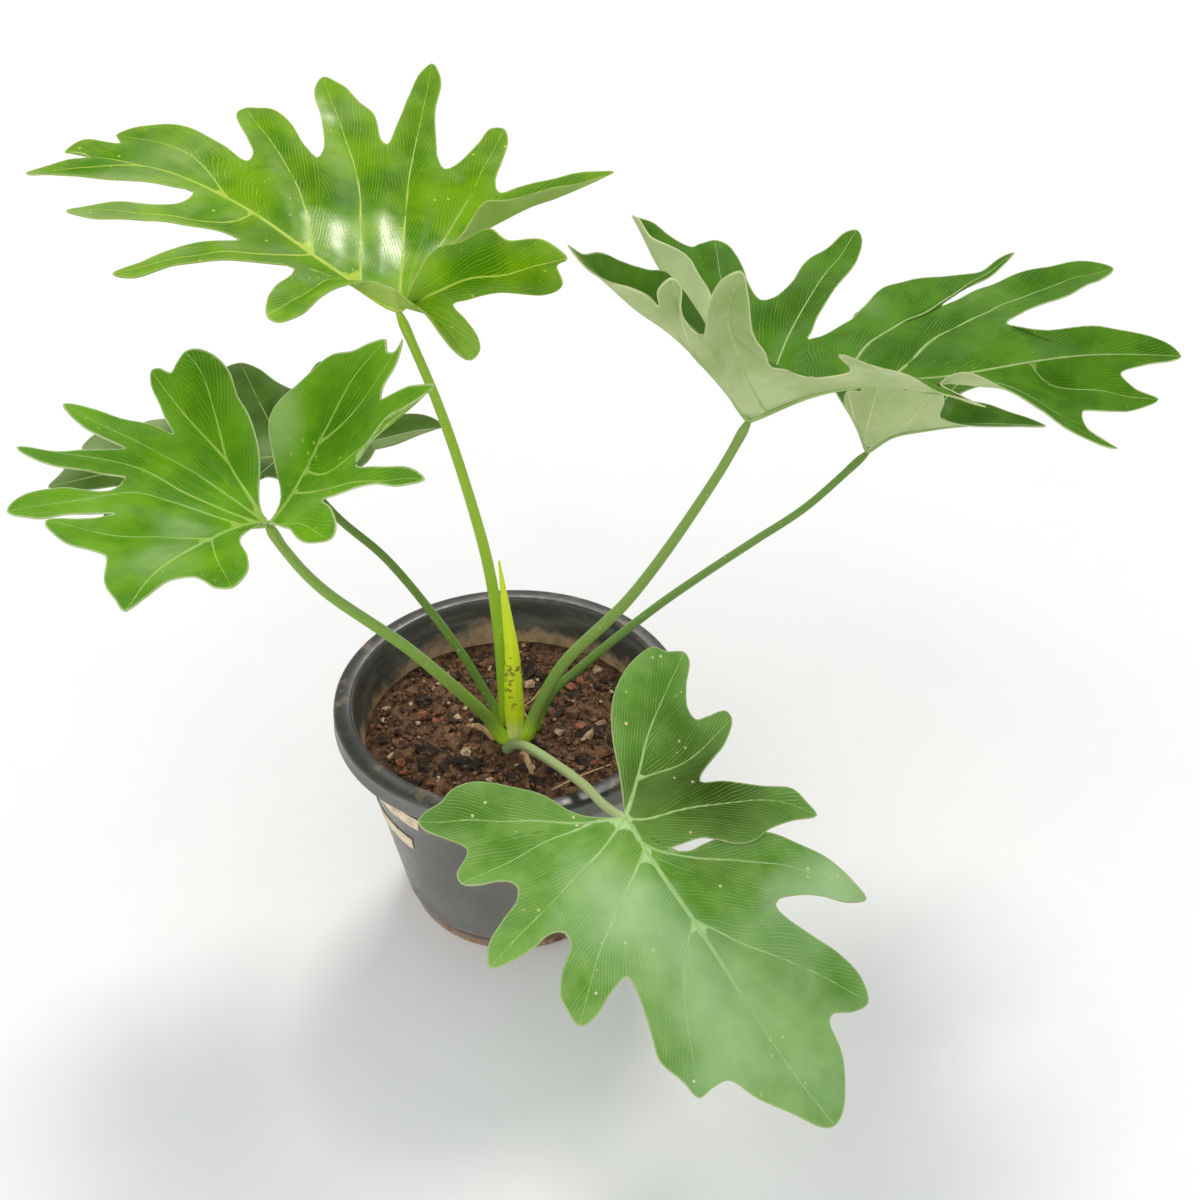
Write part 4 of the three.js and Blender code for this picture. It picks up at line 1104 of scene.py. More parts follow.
@dataclass
class Spear:
    """The pale sheath around the next leaf, with a fold where its edges overlap."""

    route: tuple = ((3, -13, 146), (3, -12, 172), (3, -11, 199), (3, -10, 225), (1, -8, 251), (-1, -7, 276),
                    (-3, -6, 300))
    radii: tuple = (5.4, 7.2, 6.6, 5.2, 3.8, 2.3, 0.7)
    flatten: float = 0.8
    fold_depth: float = 0.13
    steps: int = 80
    sides: int = 48

    def build(self, material: Material) -> Piece:
        """The sheath, closed at its pointed tip."""
        shares = spaced(self.steps)
        radii = np.interp(shares, spaced(len(self.radii) - 1), self.radii)
        bm = bmesh.new()

        def relief(turn: float, share: float) -> float:
            """The step where the sheath's outer edge overlaps, which turns slowly as it rises."""
            off = (turn - 0.62 - 0.12 * share) * 40
            step = 1 / (1 + math.exp(-off)) * math.exp(-max(off, 0) / 9)
            return 1 + self.fold_depth * step

        add_tube(bm, smooth_curve(self.route, shares) * MM, radii * MM, self.sides, self.flatten, relief)
        piece = finished_piece("spear_sheath", bm, material)
        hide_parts("spear")
        return piece


@dataclass
class Pot:
    """The nursery pot: a turned wall and base, a rolled rim open below, and drain holes."""

    height: float = 181
    rim_radius: float = 125
    rim_band: float = 15
    rim_inner: float = 110.5
    base_radius: float = 80
    body_foot: float = 82
    body_top: float = 114
    wall: float = 2.6
    floor: float = 3
    step_height: float = 17
    step_width: float = 2
    drains: int = 5
    drain_radius: float = 6
    drain_ring: float = 58
    sides: int = 160

    def outer(self, z: float) -> float:
        """Radius of the wall's outside at a height."""
        return self.body_foot + (self.body_top - self.body_foot) * z / self.height

    def inner(self, z: float) -> float:
        """Radius of the wall's inside at a height."""
        return self.outer(z) - self.wall

    def profile(self) -> list[tuple]:
        """The outline of half a section, from the middle of the base round to the middle of the floor."""
        under, skirt, top = self.height - self.wall, self.height - self.rim_band, self.height
        step, rim, lip = self.step_height, self.rim_radius, self.rim_inner
        return [
            (0, 0), (self.base_radius - 3, 0), (self.base_radius - 0.8, 0.5), (self.base_radius, 2),
            (self.outer(step) - self.step_width, step - 1.6), (self.outer(step) - 0.7, step - 0.7),
            (self.outer(step), step + 0.4), (self.outer(60), 60), (self.outer(120), 120),
            (self.outer(under) - 0.1, under - 1.2), (self.outer(under) + 1, under), (rim - 4.2, under),
            (rim - self.wall - 0.4, under - 0.5), (rim - self.wall, under - 1.6),
            (rim - self.wall, skirt + 0.4), (rim - self.wall + 0.4, skirt),
            (rim - 0.5, skirt), (rim, skirt + 0.6), (rim, skirt + 2.4), (rim - 0.5, skirt + 3.2),
            (rim - 0.5, top - 4), (rim - 0.9, top - 1.8), (rim - 2, top - 0.6), (rim - 3.6, top),
            (lip + 3.4, top), (lip + 1.4, top - 0.4), (lip + 0.3, top - 1.4),
            (self.inner(top - 8), top - 8), (self.inner(90), 90),
            (self.inner(self.floor + 2), self.floor + 2), (self.inner(self.floor) - 2, self.floor),
            (0, self.floor),
        ]

    def build(self, material: Material) -> Piece:
        """The pot with its drain holes cut."""
        bm = bmesh.new()
        verts = [bm.verts.new((r * MM, 0, z * MM)) for r, z in self.profile()]
        edges = [bm.edges.new(pair) for pair in zip(verts, verts[1:])]
        bmesh.ops.spin(bm, geom=verts + edges, cent=(0, 0, 0), axis=(0, 0, 1), angle=FULL_TURN,
                       steps=self.sides, use_merge=True)
        bmesh.ops.remove_doubles(bm, verts=bm.verts[:], dist=1e-6)
        bmesh.ops.recalc_face_normals(bm, faces=bm.faces[:])
        pot = finished_piece("pot_body", bm, material)
        cutters = bmesh.new()
        for i in range(self.drains):
            turn = FULL_TURN * i / self.drains
            spot = Vector((self.drain_ring * math.cos(turn), self.drain_ring * math.sin(turn), 0)) * MM
            bmesh.ops.create_cone(cutters, cap_ends=True, segments=28, radius1=self.drain_radius * MM,
                                  radius2=self.drain_radius * MM, depth=20 * MM,
                                  matrix=Matrix.Translation(spot))
        mesh = bpy.data.meshes.new("drain_cutters")
        cutters.to_mesh(mesh)
        cutters.free()
        tool = bpy.data.objects.new("drain_cutters", mesh)
        bpy.context.scene.collection.objects.link(tool)
        cut = pot.modifiers.new("drains", "BOOLEAN")
        cut.object, cut.operation, cut.solver = tool, "DIFFERENCE", "EXACT"
        shape = bpy.data.meshes.new_from_object(pot.evaluated_get(bpy.context.evaluated_depsgraph_get()))
        pot.modifiers.clear()
        pot.data = shape
        bpy.data.objects.remove(tool)
        pot.data.set_sharp_from_angle(angle=math.radians(50))
        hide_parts("pot")
        return pot


@dataclass(frozen=True)
class Strewn:
    """Loose pieces on the soil: how many, their least and most radius in mm, and how they lie.

    A piece's thickness is its radius times flat, and it lies lift mm over the soil.
    """

    name: str
    finish: EarthFinish
    count: int
    sizes: tuple
    flat: float
    lift: float = 0


@dataclass
class Soil:
    """The soil in the pot: a clodded top, with chips of bark and brick, rootlets and roots on it."""

    pot: Pot
    bottom: float = 3.4
    level: float = 145
    sag: float = 1.5
    clod: float = 5
    gap: float = 0.35
    heap: float = 3.4
    heap_centre: tuple = (2, -7)
    heap_reach: float = 30
    feet: tuple = (4, -12)
    feet_radius: float = 19
    rootlet_gap: float = 26
    rootlet_ring: tuple = (92, 98)
    rootlet_step: float = 5
    sectors: int = 220
    rings: int = 64
    seed: int = 11

    def relief(self, x: float, y: float) -> float:
        """Height of the clods over the soil's level at a place, in mm."""
        broad = noise.fractal(Vector((x / 26, y / 26, 3)), 0.8, 2.1, 3)
        lumps = noise.voronoi(Vector((x / 11, y / 11, 1)))[0][0]
        small = noise.voronoi(Vector((x / 4, y / 4, 5)))[0][0]
        fine = noise.noise(Vector((x / 2, y / 2, 7)))
        off_x, off_y = x - self.heap_centre[0], y - self.heap_centre[1]
        heap = self.heap * math.exp(-(off_x**2 + off_y**2) / self.heap_reach**2)
        clods = 0.3 + 0.35 * broad + 0.6 * (0.5 - lumps) + 0.3 * (0.5 - small)
        return self.clod * clods + 0.6 * fine + heap

    def top(self, x: float, y: float) -> float:
        """Height of the soil's top at a place, in mm."""
        share = math.hypot(x, y) / self.pot.inner(self.level)
        return self.level - self.sag * share * share + self.relief(x, y) * min(1, 8 * max(0, 1.05 - share))

    def build(self, material: Material) -> Piece:
        """The body of soil, closed below."""
        radius = self.pot.inner(self.level - self.sag) - self.gap
        foot = self.pot.inner(self.bottom) - self.gap
        turns = FULL_TURN * spaced(self.sectors)
        ring = np.column_stack([np.cos(turns), np.sin(turns)])
        rows = [[(0, 0, self.bottom)] * len(turns), [(foot * x, foot * y, self.bottom) for x, y in ring]]
        for share in 1 - spaced(self.rings) ** 1.1:
            spots = [(radius * share * x, radius * share * y) for x, y in ring]
            rows.append([(x, y, self.top(x, y)) for x, y in spots])
        bm = bmesh.new()
        placed_grid(bm, np.array(rows, float) * MM)
        bmesh.ops.remove_doubles(bm, verts=bm.verts[:], dist=1e-6)
        bmesh.ops.recalc_face_normals(bm, faces=bm.faces[:])
        piece = finished_piece("soil_bed", bm, material)
        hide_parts("soil")
        return piece

    def from_feet(self, x: float, y: float) -> float:
        """Distance of a place from the stalks' feet."""
        return math.hypot(x - self.feet[0], y - self.feet[1])

    def strew(self, chips: Strewn) -> Piece:
        """Strews loose pieces clear of the wall and of the stalks' feet, as one piece."""
        draw = random.Random(f"{chips.name}{self.seed}")
        least, most = chips.sizes
        bm = bmesh.new()
        limit = self.pot.inner(self.level) - 4
        placed = 0
        while placed < chips.count:
            x, y = draw.uniform(-limit, limit), draw.uniform(-limit, limit)
            size = least + (most - least) * draw.random() ** 2.2
            if math.hypot(x, y) > limit - size or self.from_feet(x, y) < self.feet_radius:
                continue
            thick = size * chips.flat
            spin = Matrix.Rotation(draw.uniform(0, ABOUT_A_TURN), 4, "Z")
            tilt = Matrix.Rotation(draw.uniform(-0.5, 0.5), 4, draw.choice("XY"))
            shape = Matrix.Diagonal((size, size * draw.uniform(0.45, 0.95), thick, 1))
            place = Matrix.Translation((x, y, self.top(x, y) + 0.3 * size * chips.flat + chips.lift))
            made = bmesh.ops.create_icosphere(bm, subdivisions=1, radius=1,
                                              matrix=place @ spin @ tilt @ shape)
            for vert in made["verts"]:
                vert.co = vert.co + Vector([draw.uniform(-0.3, 0.3) * size * k for k in (1, 1, chips.flat)])
            placed += 1
        bmesh.ops.scale(bm, vec=(MM, MM, MM), verts=bm.verts[:])
        piece = finished_piece(chips.name, bm, chips.finish.material())
        piece.data.set_sharp_from_angle(angle=math.radians(35))
        return piece

    def rods(self, name: str, material: Material, lines: list[tuple[float, float, list[tuple]]],
             sides: int) -> Piece:
        """Roots or twigs, as one piece.

        Args:
            name: the piece's name.
            material: its finish.
            lines: each one's radius in mm, its taper as a share, and its route.
            sides: faces around each.

        Returns:
            The piece.
        """
        bm = bmesh.new()
        for radius, taper, route in lines:
            shares = spaced(24)
            wave = np.array([1 + 0.12 * noise.noise(Vector((s * 9, radius, 4))) for s in shares])
            add_tube(bm, smooth_curve(route, shares) * MM, radius * (1 - taper * shares) * wave * MM, sides)
        piece = finished_piece(name, bm, material)
        return piece

    def rootlets(self, material: Material, count: int = 60) -> Piece:
        """Fine dry roots that lie curled on the soil."""
        draw = random.Random(self.seed)
        lines = []
        reach = 95
        start_ring, end_ring = self.rootlet_ring
        while len(lines) < count:
            x, y = draw.uniform(-reach, reach), draw.uniform(-reach, reach)
            if math.hypot(x, y) > start_ring or self.from_feet(x, y) < self.rootlet_gap:
                continue
            turn, route = draw.uniform(0, ABOUT_A_TURN), []
            for _ in range(draw.randint(4, 7)):
                route.append((x, y, self.top(x, y) + draw.uniform(0.2, 1.2)))
                turn += draw.uniform(-0.9, 0.9)
                x += self.rootlet_step * math.cos(turn)
                y += self.rootlet_step * math.sin(turn)
            if math.hypot(x, y) < end_ring:
                lines.append((draw.uniform(0.22, 0.5), 0.5, route))
        return self.rods("soil_rootlets", material, lines, 5)


@dataclass
class Crown:
    """The low stump that the stalks rise from, wrapped in the swollen bases of old and new stalks."""

    centre: tuple = (4, -10)
    radius: float = 14
    bottom: float = 121
    top: float = 150
    most_swell: float = 0.4

    def build(self, material: Material) -> Piece:
        """A lumpy mound."""
        radius, top = self.radius, self.top
        profile = [(0, self.bottom), (radius * 0.8, self.bottom), (radius, self.bottom + 12),
                   (radius, top - 7), (radius - 1.5, top - 3), (radius - 4, top - 1), (radius - 8, top),
                   (0, top)]
        bm = bmesh.new()
        verts = [bm.verts.new((r * MM, 0, z * MM)) for r, z in smooth_curve(profile, spaced(40))[:, :2]]
        edges = [bm.edges.new(pair) for pair in zip(verts, verts[1:])]
        bmesh.ops.spin(bm, geom=verts + edges, cent=(0, 0, 0), axis=(0, 0, 1), angle=FULL_TURN, steps=72,
                       use_merge=True)
        bmesh.ops.remove_doubles(bm, verts=bm.verts[:], dist=1e-6)
        bmesh.ops.recalc_face_normals(bm, faces=bm.faces[:])
        for vert in bm.verts:
            lump = noise.noise(vert.co * 90) * 2.2 + noise.noise(vert.co * 260) * 0.7
            outward = Vector((vert.co.x, vert.co.y, 0)).normalized()
            vert.co = vert.co + outward * min(lump, self.most_swell) * MM
            vert.co.z += lump * 0.5 * MM
        bmesh.ops.translate(bm, vec=Vector((*self.centre, 0)) * MM, verts=bm.verts[:])
        piece = finished_piece("crown_stump", bm, material)
        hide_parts("crown")
        return piece


@dataclass
class LabelStrip:
    """A blank strip of paper around the pot's wall."""

    name: str
    first: float
    last: float
    top: float
    bottom: float
    slant: float
    pot: Pot
    thickness: float = 0.45
    off_wall: float = 0.4

    def build(self, material: Material) -> Piece:
        """The strip, bent on the wall."""
        rows = []
        for share in spaced(6):
            z = self.bottom + (self.top - self.bottom) * share
            row = []
            for part in spaced(48):
                last = self.last - self.slant * (1 - share) + 0.25 * noise.noise(Vector((share * 4, 0, 5)))
                turn = math.radians(self.first + (last - self.first) * part)
                wave = 0.35 * noise.noise(Vector((part * 9, 2, self.top)))
                radius = self.pot.outer(z) + self.off_wall + self.thickness / 2
                row.append((radius * math.cos(turn), radius * math.sin(turn), z + wave))
            rows.append(row)
        bm = bmesh.new()
        placed_grid(bm, np.array(rows) * MM)
        piece = finished_piece(self.name + "_paper", bm, material)
        sheet = piece.modifiers.new("thickness", "SOLIDIFY")
        sheet.thickness, sheet.offset = self.thickness * MM, 0
        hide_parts(self.name)
        return piece


@dataclass
class Studio:
    """A pale floor, soft lights and the camera at the photograph's angle."""

    floor_size: float = 9
    eye: tuple = (0.0, -0.8726, 0.9159)
    pitch: float = 36.882
    yaw: float = 4.231
    lens: float = 48
    film_width: float = 36
    sky: str = "#f6f8ff"
    sky_strength: float = 0.62

    def build(self, material: Material) -> None:
        """Lays the floor and sets the sky, the lights and the camera."""
        scene = bpy.context.scene
        bm = bmesh.new()
        bmesh.ops.create_grid(bm, x_segments=8, y_segments=8, size=self.floor_size / 2)
        mesh = bpy.data.meshes.new("floor")
        bm.to_mesh(mesh)
        bm.free()
        mesh.materials.append(material)
        floor = bpy.data.objects.new("floor", mesh)
        scene.collection.objects.link(floor)
        world = bpy.data.worlds.new("soft sky")
        scene.world = world
        world.use_nodes = True
        sky = world.node_tree.nodes["Background"]
        sky.inputs["Color"].default_value = linear(self.sky)
        sky.inputs["Strength"].default_value = self.sky_strength
        self.sun("key", (0.1, 0.6, 0.8), 16, 1.3, "#fffaf2")
        self.sun("front", (-0.5, -0.7, 0.9), 70, 0.9, "#ffffff")
        camera = bpy.data.cameras.new("camera")
        camera.lens, camera.sensor_width = self.lens, self.film_width
        camera.clip_start, camera.clip_end = 0.01, 50
        eye = bpy.data.objects.new("camera", camera)
        eye.location = self.eye
        eye.rotation_euler = (math.radians(90 - self.pitch), 0, math.radians(-self.yaw))
        scene.collection.objects.link(eye)
        scene.camera = eye
        scene.view_settings.view_transform = "Standard"

    def sun(self, name: str, source: tuple, spread: float, strength: float, colour: str) -> None:
        """Adds an even, soft light.

        Args:
            name: its name.
            source: the direction that it comes from.
            spread: its angle in degrees, which softens shadows and highlights.
            strength: its strength in watts a square metre.
            colour: its sRGB hex colour.
        """
        lamp = bpy.data.lights.new(name, "SUN")
        lamp.angle, lamp.energy, lamp.color = math.radians(spread), strength, linear(colour)[:3]
        holder = bpy.data.objects.new(name, lamp)
        holder.rotation_euler = (-Vector(source)).to_track_quat("-Z", "Y").to_euler()
        bpy.context.scene.collection.objects.link(holder)


# Each leaf's shades are patches of painted sheen (above 0) and painted shade (below 0) on its blade.
LEAVES = {
    "a": Leaf(
        "leaf_a", junction=(-56, 0, 482), heading=146,
        bend=Bend(0.34, -0.0007, 0, 0.0008, -0.05, 0, 0.12, 0.0009),
        shades=[(72, -30, 17, 1), (92, -40, 10, 0.7), (36, -43, 12, 1), (50, -60, 11, 0.8), (6, -58, 11, 0.9),
                (36, -117, 9, 0.5), (118, -64, 20, -0.6), (130, -125, 24, 0.45), (-35, -12, 20, 0.5),
                (-40, -70, 30, -0.3), (90, -150, 24, -0.3), (193, 39, 40, 0.45), (205, -34, 40, 0.45),
                (100, -4, 30, -0.5), (-5, 25, 26, 0.3), (60, -92, 18, -0.5), (86, -62, 10, -0.6)],
        midrib=[(63, -8), (141, -22), (215, -24), (248, -7), (272, 3, -3), (298, 0, -9)],
        right=HalfBlade(
            hind_rib=(2, -30), tip_notch=(259, -20),
            tip_margin=[(276, -3, -2), (266, -10)],
            lobes=[
                Lobe(0.7, [(268, -22)], (279, -19), [(276, -33), (260, -38)], (249, -40)),
                Lobe(0.47, [(254, -44)], (259, -48), [(239, -65), (213, -70), (181, -64)], (157, -59),
                     [(195, -48)]),
                Lobe(0.22, [(158, -66), (170, -76), (195, -96)], (194, -104), [(186, -107), (176, -109),
                     (153, -101), (133, -89)], (119, -83), [(96, -39), (125, -63)]),
                Lobe(0.1, [(121, -92), (140, -116), (160, -136)], (162, -149), [(143, -146), (125, -138),
                     (110, -134), (93, -118)], (88, -117), [(61, -48), (87, -82)]),
                Lobe(0, [(92, -136), (98, -156), (103, -178)], (100, -189), [(91, -184), (85, -177),
                     (78, -159), (63, -137), (53, -124)], (45, -119), [(40, -65), (65, -110)]),
                Lobe(-0.5, [(40, -127), (38, -149), (38, -163)], (31, -169), [(24, -163), (18, -146),
                     (12, -128)], (5, -122), [(13, -63), (21, -111)]),
                Lobe(-1, [(-5, -129), (-18, -140), (-40, -154)], (-58, -158), [(-36, -120, 12),
                     (-18, -92, 20), (-8, -85, 22), (-5, -63, 14), (1, -46, 6)], None, [(1, -79),
                     (-20, -124, -3)]),
            ],
        ),
        left=HalfBlade(
            hind_rib=(2, -16, -4), tip_notch=(166, -15),
            tip_margin=[(251, 13), (213, -2), (180, -12)],
            lobes=[
                Lobe(0.4, [(162, 2), (195, 26)], (214, 46), [(193, 47), (176, 35), (147, 21)], (108, 11),
                     [(128, 1), (169, 21)]),
                Lobe(0.22, [(111, 17), (127, 34), (136, 65)], (140, 86), [(127, 83), (119, 58), (87, 23)],
                     (68, 11), [(82, 6), (116, 38)]),
                Lobe(0.07, [(63, 34), (59, 47)], (52, 57), [(40, 60, 2), (33, 49, 5), (32, 32, 7),
                     (27, 14, 9), (16, 2, 12)], (-1, 4, 14), [(45, 2), (48, 31)], 0),
                Lobe(-0.5, [(-7, -1, 6), (-12, -11, -6), (-21, -12, -18), (-29, -15, -30)], (-35, -22, -38),
                     [(-39, -27, -34), (-36, -30, -28), (-27, -31, -18)], (-19, -30, -8), [(-13, -19, -12)]),
                Lobe(-1, [(-28, -34, -6), (-48, -38), (-75, -45, -4), (-88, -44, 4), (-87, -40, 20)],
                     (-97, -35, 30), [(-76, -41, 34), (-55, -38, 34), (-36, -47, 34), (-16, -45, 24),
                     (2, -41, 14)], None, [(-24, -32, 8), (-59, -37, 16)]),
            ],
        ),
    ),
    "b": Leaf(
        "leaf_b", junction=(-134, -100, 400), heading=222, puff=2.2,
        bend=Bend(0.1, 0, 0.5, 0.004, 0.35, 0, 0.1, 0.001),
        shades=[(-42, -34, 15, 1), (-50, -50, 13, 0.9), (69, 6, 22, 0.6), (38, -20, 20, 0.35),
                (66, -62, 20, 0.3), (-36, -100, 26, -0.5), (-66, -8, 22, -0.5), (-12, -80, 20, -0.2),
                (-26, 12, 16, 0.3)],
        midrib=[(12, -7), (36, -7), (78, 4), (114, 36)],
        right=HalfBlade(
            hind_rib=(-16, -60), tip_notch=(90, -23),
            tip_margin=[(109, 16), (103, -4)],
            lobes=[
                Lobe(0.28, [(92, -29), (101, -45)], (99, -67), [(84, -61), (73, -56)], (65, -53),
                     [(60, -27)]),
                Lobe(0.1, [(71, -58), (82, -64), (105, -72)], (112, -83), [(95, -89), (77, -85), (53, -73)],
                     (42, -77), [(23, -32), (45, -64)]),
                Lobe(0.03, [(53, -88), (71, -100), (78, -110)], (80, -124), [(66, -115), (49, -109),
                     (35, -101)], (28, -97), [(19, -47), (35, -90)]),
                Lobe(0, [(33, -108), (38, -122)], (37, -144), [(23, -132), (14, -120), (2, -106)], (-3, -94),
                     [(3, -51), (14, -90)]),
                Lobe(-0.9, [(-7, -107), (-11, -118), (-15, -131)], (-21, -138), [(-25, -135)], (-28, -126),
                     [(-17, -97)]),
                Lobe(-1, [(-33, -127)], (-40, -127), [(-47, -113), (-48, -94), (-41, -77), (-38, -63),
                     (-32, -49), (-25, -38), (-8, -18)], None, [(-28, -84), (-38, -108)]),
            ],
        ),
        left=HalfBlade(
            hind_rib=(-50, -10), tip_notch=(71, 31),
            tip_margin=[(99, 30), (79, 24)],
            lobes=[
                Lobe(0.28, [(71, 42), (73, 60)], (68, 65), [(52, 56), (37, 34), (22, 5), (11, -1)], (1, 4, 3),
                     [(44, 13)], 0),
                Lobe(0, [(-2, 9), (-1, 19), (5, 36), (6, 51)], (-3, 56), [(-11, 51), (-21, 34)], (-25, 21),
                     [(-8, 21)]),
                Lobe(-0.45, [(-30, 32), (-39, 53), (-38, 76)], (-43, 92), [(-48, 70), (-47, 46)], (-45, 30),
                     [(-33, 22), (-40, 49)]),
                Lobe(-0.7, [(-51, 24), (-59, 27), (-67, 31), (-74, 42)], (-84, 57), [(-82, 39), (-76, 26)],
                     (-74, 20), [(-38, 7), (-52, 21)]),
                Lobe(-0.95, [(-80, 16), (-89, 17)], (-100, 11), [(-96, 11)], (-94, 4), [(-72, 4)]),
                Lobe(-1, [(-96, 1)], (-98, -2), [(-94, -11), (-87, -20), (-80, -33), (-65, -44), (-49, -51),
                     (-42, -49), (-33, -36), (-26, -24), (-16, -8)], None, [(-80, -10)]),
            ],
        ),
    ),
    "c": Leaf(
        "leaf_c", junction=(-145, 75, 338), heading=188,
        bend=Bend(-0.05, -0.0003, 0, 0.0008, 0.02, 0, 0.15, 0.0004),
        shades=[(156, -18, 24, 0.9), (130, -48, 22, 0.8), (90, -60, 20, 1), (12, -5, 20, 0.4),
                (-56, 10, 26, 0.35)],
        midrib=[(38, 0, 2), (91, 0, 9), (123, 0, 11), (158, 0, 11)],
        right=HalfBlade(
            hind_rib=(-23, -12, 2), tip_notch=(127, -12, 10),
            tip_margin=[(150, -4, 15), (139, -8, 20)],
            lobes=[
                Lobe(0.45, [(135, -35, 5)], (138, -52), [(129, -59), (115, -59)], (102, -50)),
                Lobe(0.2, [(98, -59)], (82, -62), [(70, -57)], (56, -65)),
                Lobe(0, [(46, -89), (36, -104)], (25, -108), [(12, -95), (0, -80)], (-12, -72)),
                Lobe(-0.5, [(-17, -76), (-22, -85)], (-32, -97), [(-44, -84)], (-46, -58)),
                Lobe(-1, [(-50, -52)], (-48, -44), [(-42, -28), (-28, -12), (-12, -3)]),
            ],
        ),
        left=HalfBlade(
            hind_rib=(-22, 10, -4), tip_notch=(111, 12, 5),
            tip_margin=[(144, 4, 6), (128, 8, 5)],
            lobes=[
                Lobe(0.45, [(118, 27, 3)], (120, 55), [(98, 49)], (82, 30)),
                Lobe(0.2, [(82, 61)], (77, 87), [(59, 82)], (49, 42)),
                Lobe(0.02, [(50, 61)], (45, 78), [(31, 55)], (16, 25), [(22, 25), (36, 52)]),
                Lobe(-0.5, [(-6, 46), (-26, 46), (-44, 34)], (-55, 20), [(-60, 10)], (-59, 0)),
                Lobe(-1, [(-72, -4), (-91, -3)], (-109, -1), [(-97, -17), (-82, -22), (-58, -16), (-30, -3)]),
            ],
        ),
    ),
    "d": Leaf(
        "leaf_d", junction=(152, -40, 421), heading=15, puff=2.1,
        bend=Bend(0.06, -0.0004, 0.2, 0.002, 0.15, 0.0008, 0.25, 0.002),
        shades=[(200, 80, 34, 0.4), (120, 90, 26, 0.4), (230, 15, 30, 0.2), (80, 90, 20, -0.6),
                (122, 35, 24, -0.4), (260, 100, 30, -0.2), (-34, -58, 20, -0.8), (-76, -58, 16, -0.7),
                (45, -48, 14, -0.4)],
        midrib=[(43, 0, 9), (88, 0, 8), (135, 0, 5), (232, 0, 11), (312, 0, 9)],
        right=HalfBlade(
            hind_rib=(-24, -12, 30), tip_notch=(257, -12, -1),
            tip_margin=[(303, -4, 7), (277, -8, 4)],
            lobes=[
                Lobe(0.62, [(262, -21, -7)], (276, -30, -14), [(252, -34, -21), (235, -38, -21)],
                     (210, -42, -20), [(205, -10, -4), (237, -20, -8)]),
                Lobe(0.45, [(203, -58, -26)], (215, -75, -39), [(203, -70, -36), (180, -66, -25),
                     (163, -61, -11), (144, -56, 4), (115, -47, 19)], (104, -42, 14), [(165, -25, 2),
                     (195, -50, -20)]),
                Lobe(0.3, [(110, -55, 7)], (120, -68), [(92, -61, 11), (72, -54, 27), (52, -47, 37),
                     (35, -40, 45), (48, -33, 31)], (29, -26, 29), [(103, -34, 8)]),
                Lobe(0.04, [(6, -31, 40), (-6, -37, 44), (-12, -42, 53), (-23, -48, 65), (-31, -55, 90)],
                     (-40, -64, 103), [(-49, -61, 95), (-53, -58, 85), (-54, -54, 75)], (-53, -48, 61),
                     [(-21, -21, 55), (-37, -43, 81)]),
                Lobe(-0.6, [(-62, -52, 63), (-69, -55, 71), (-71, -58, 87)], (-78, -62, 90), [(-84, -57, 78)],
                     (-81, -52, 71), [(-55, -35, 55)]),
                Lobe(-1, [(-86, -52, 74), (-96, -51, 75), (-109, -51, 74), (-121, -50, 76)], (-130, -50, 82),
                     [(-119, -42, 83), (-107, -35, 88), (-94, -30, 89), (-77, -26, 89), (-64, -20, 91),
                     (-38, -8, 68)], None, [(-56, -32, 53), (-99, -44, 70)]),
            ],
        ),
        left=HalfBlade(
            hind_rib=(9, 28, 4), tip_notch=(198, 36, 11),
            tip_margin=[(309, 6, 12), (288, 12, 17), (262, 18, 18), (231, 24, 15), (207, 30, 12)],
            lobes=[
                Lobe(0.3, [(221, 52, 8), (274, 74, 5), (311, 94, 3)], (330, 110), [(316, 115), (273, 106),
                     (239, 99), (207, 88)], (172, 76), [(151, 41, 5), (261, 85, 3)]),
                Lobe(0.2, [(192, 88), (222, 101)], (254, 122), [(239, 118), (213, 105), (182, 100),
                     (158, 100), (136, 94), (113, 79), (101, 70)], (67, 60), [(98, 40, 6), (159, 70, 3)]),
                Lobe(0.03, [(74, 69), (81, 78), (99, 95), (124, 116), (142, 138)], (144, 150), [(134, 148),
                     (113, 136), (92, 125), (77, 111), (60, 100)], (50, 100), [(62, 74, 2), (128, 135, 1)]),
                Lobe(-0.7, [(48, 113), (50, 130), (48, 153)], (42, 160), [(30, 157)], (23, 154),
                     [(30, 116, 1)]),
                Lobe(-1, [(12, 165), (4, 180)], (-6, 190), [(-9, 169, 12), (-8, 150, 16), (-1, 136, 20),
                     (8, 122, 22), (10, 110, 20), (13, 96, 16), (5, 72, 8)], None, [(5, 93, 3),
                     (-4, 141, 1)]),
            ],
        ),
    ),
    "e": Leaf(
        "leaf_e", junction=(255, 60, 333), heading=25,
        bend=Bend(0.05, -0.0003, 0.1, 0.002, 0.15, 0.0008, 0.5, 0.004),
        midrib=[(18, 0, 6), (49, 0, 2), (96, 0, -8), (168, 0, -28)],
        right=HalfBlade(
            hind_rib=(-18, -8, 27), tip_notch=(55, -8, 11),
            tip_margin=[(139, -3, -20), (87, -5, -5)],
            lobes=[
                Lobe(0.15, [(43, -22, 28)], (22, -36, 46), [(12, -34, 50)], (-2, -32, 48)),
                Lobe(-0.5, [(-11, -35, 55)], (-30, -38, 59), [(-36, -34, 60)], (-37, -30, 54)),
                Lobe(-1, [(-43, -31, 55)], (-49, -32, 55), [(-45, -24, 50), (-20, -10, 27)]),
            ],
        ),
        left=HalfBlade(
            hind_rib=(4, 16, 5), tip_notch=(93, 20, 1),
            tip_margin=[(156, 5, -22), (139, 10, -16), (123, 15, -10)],
            lobes=[
                Lobe(0.3, [(130, 25, 1), (174, 32)], (197, 40), [(186, 50), (139, 60)], (103, 64), [(85, 23),
                     (115, 38), (160, 41)]),
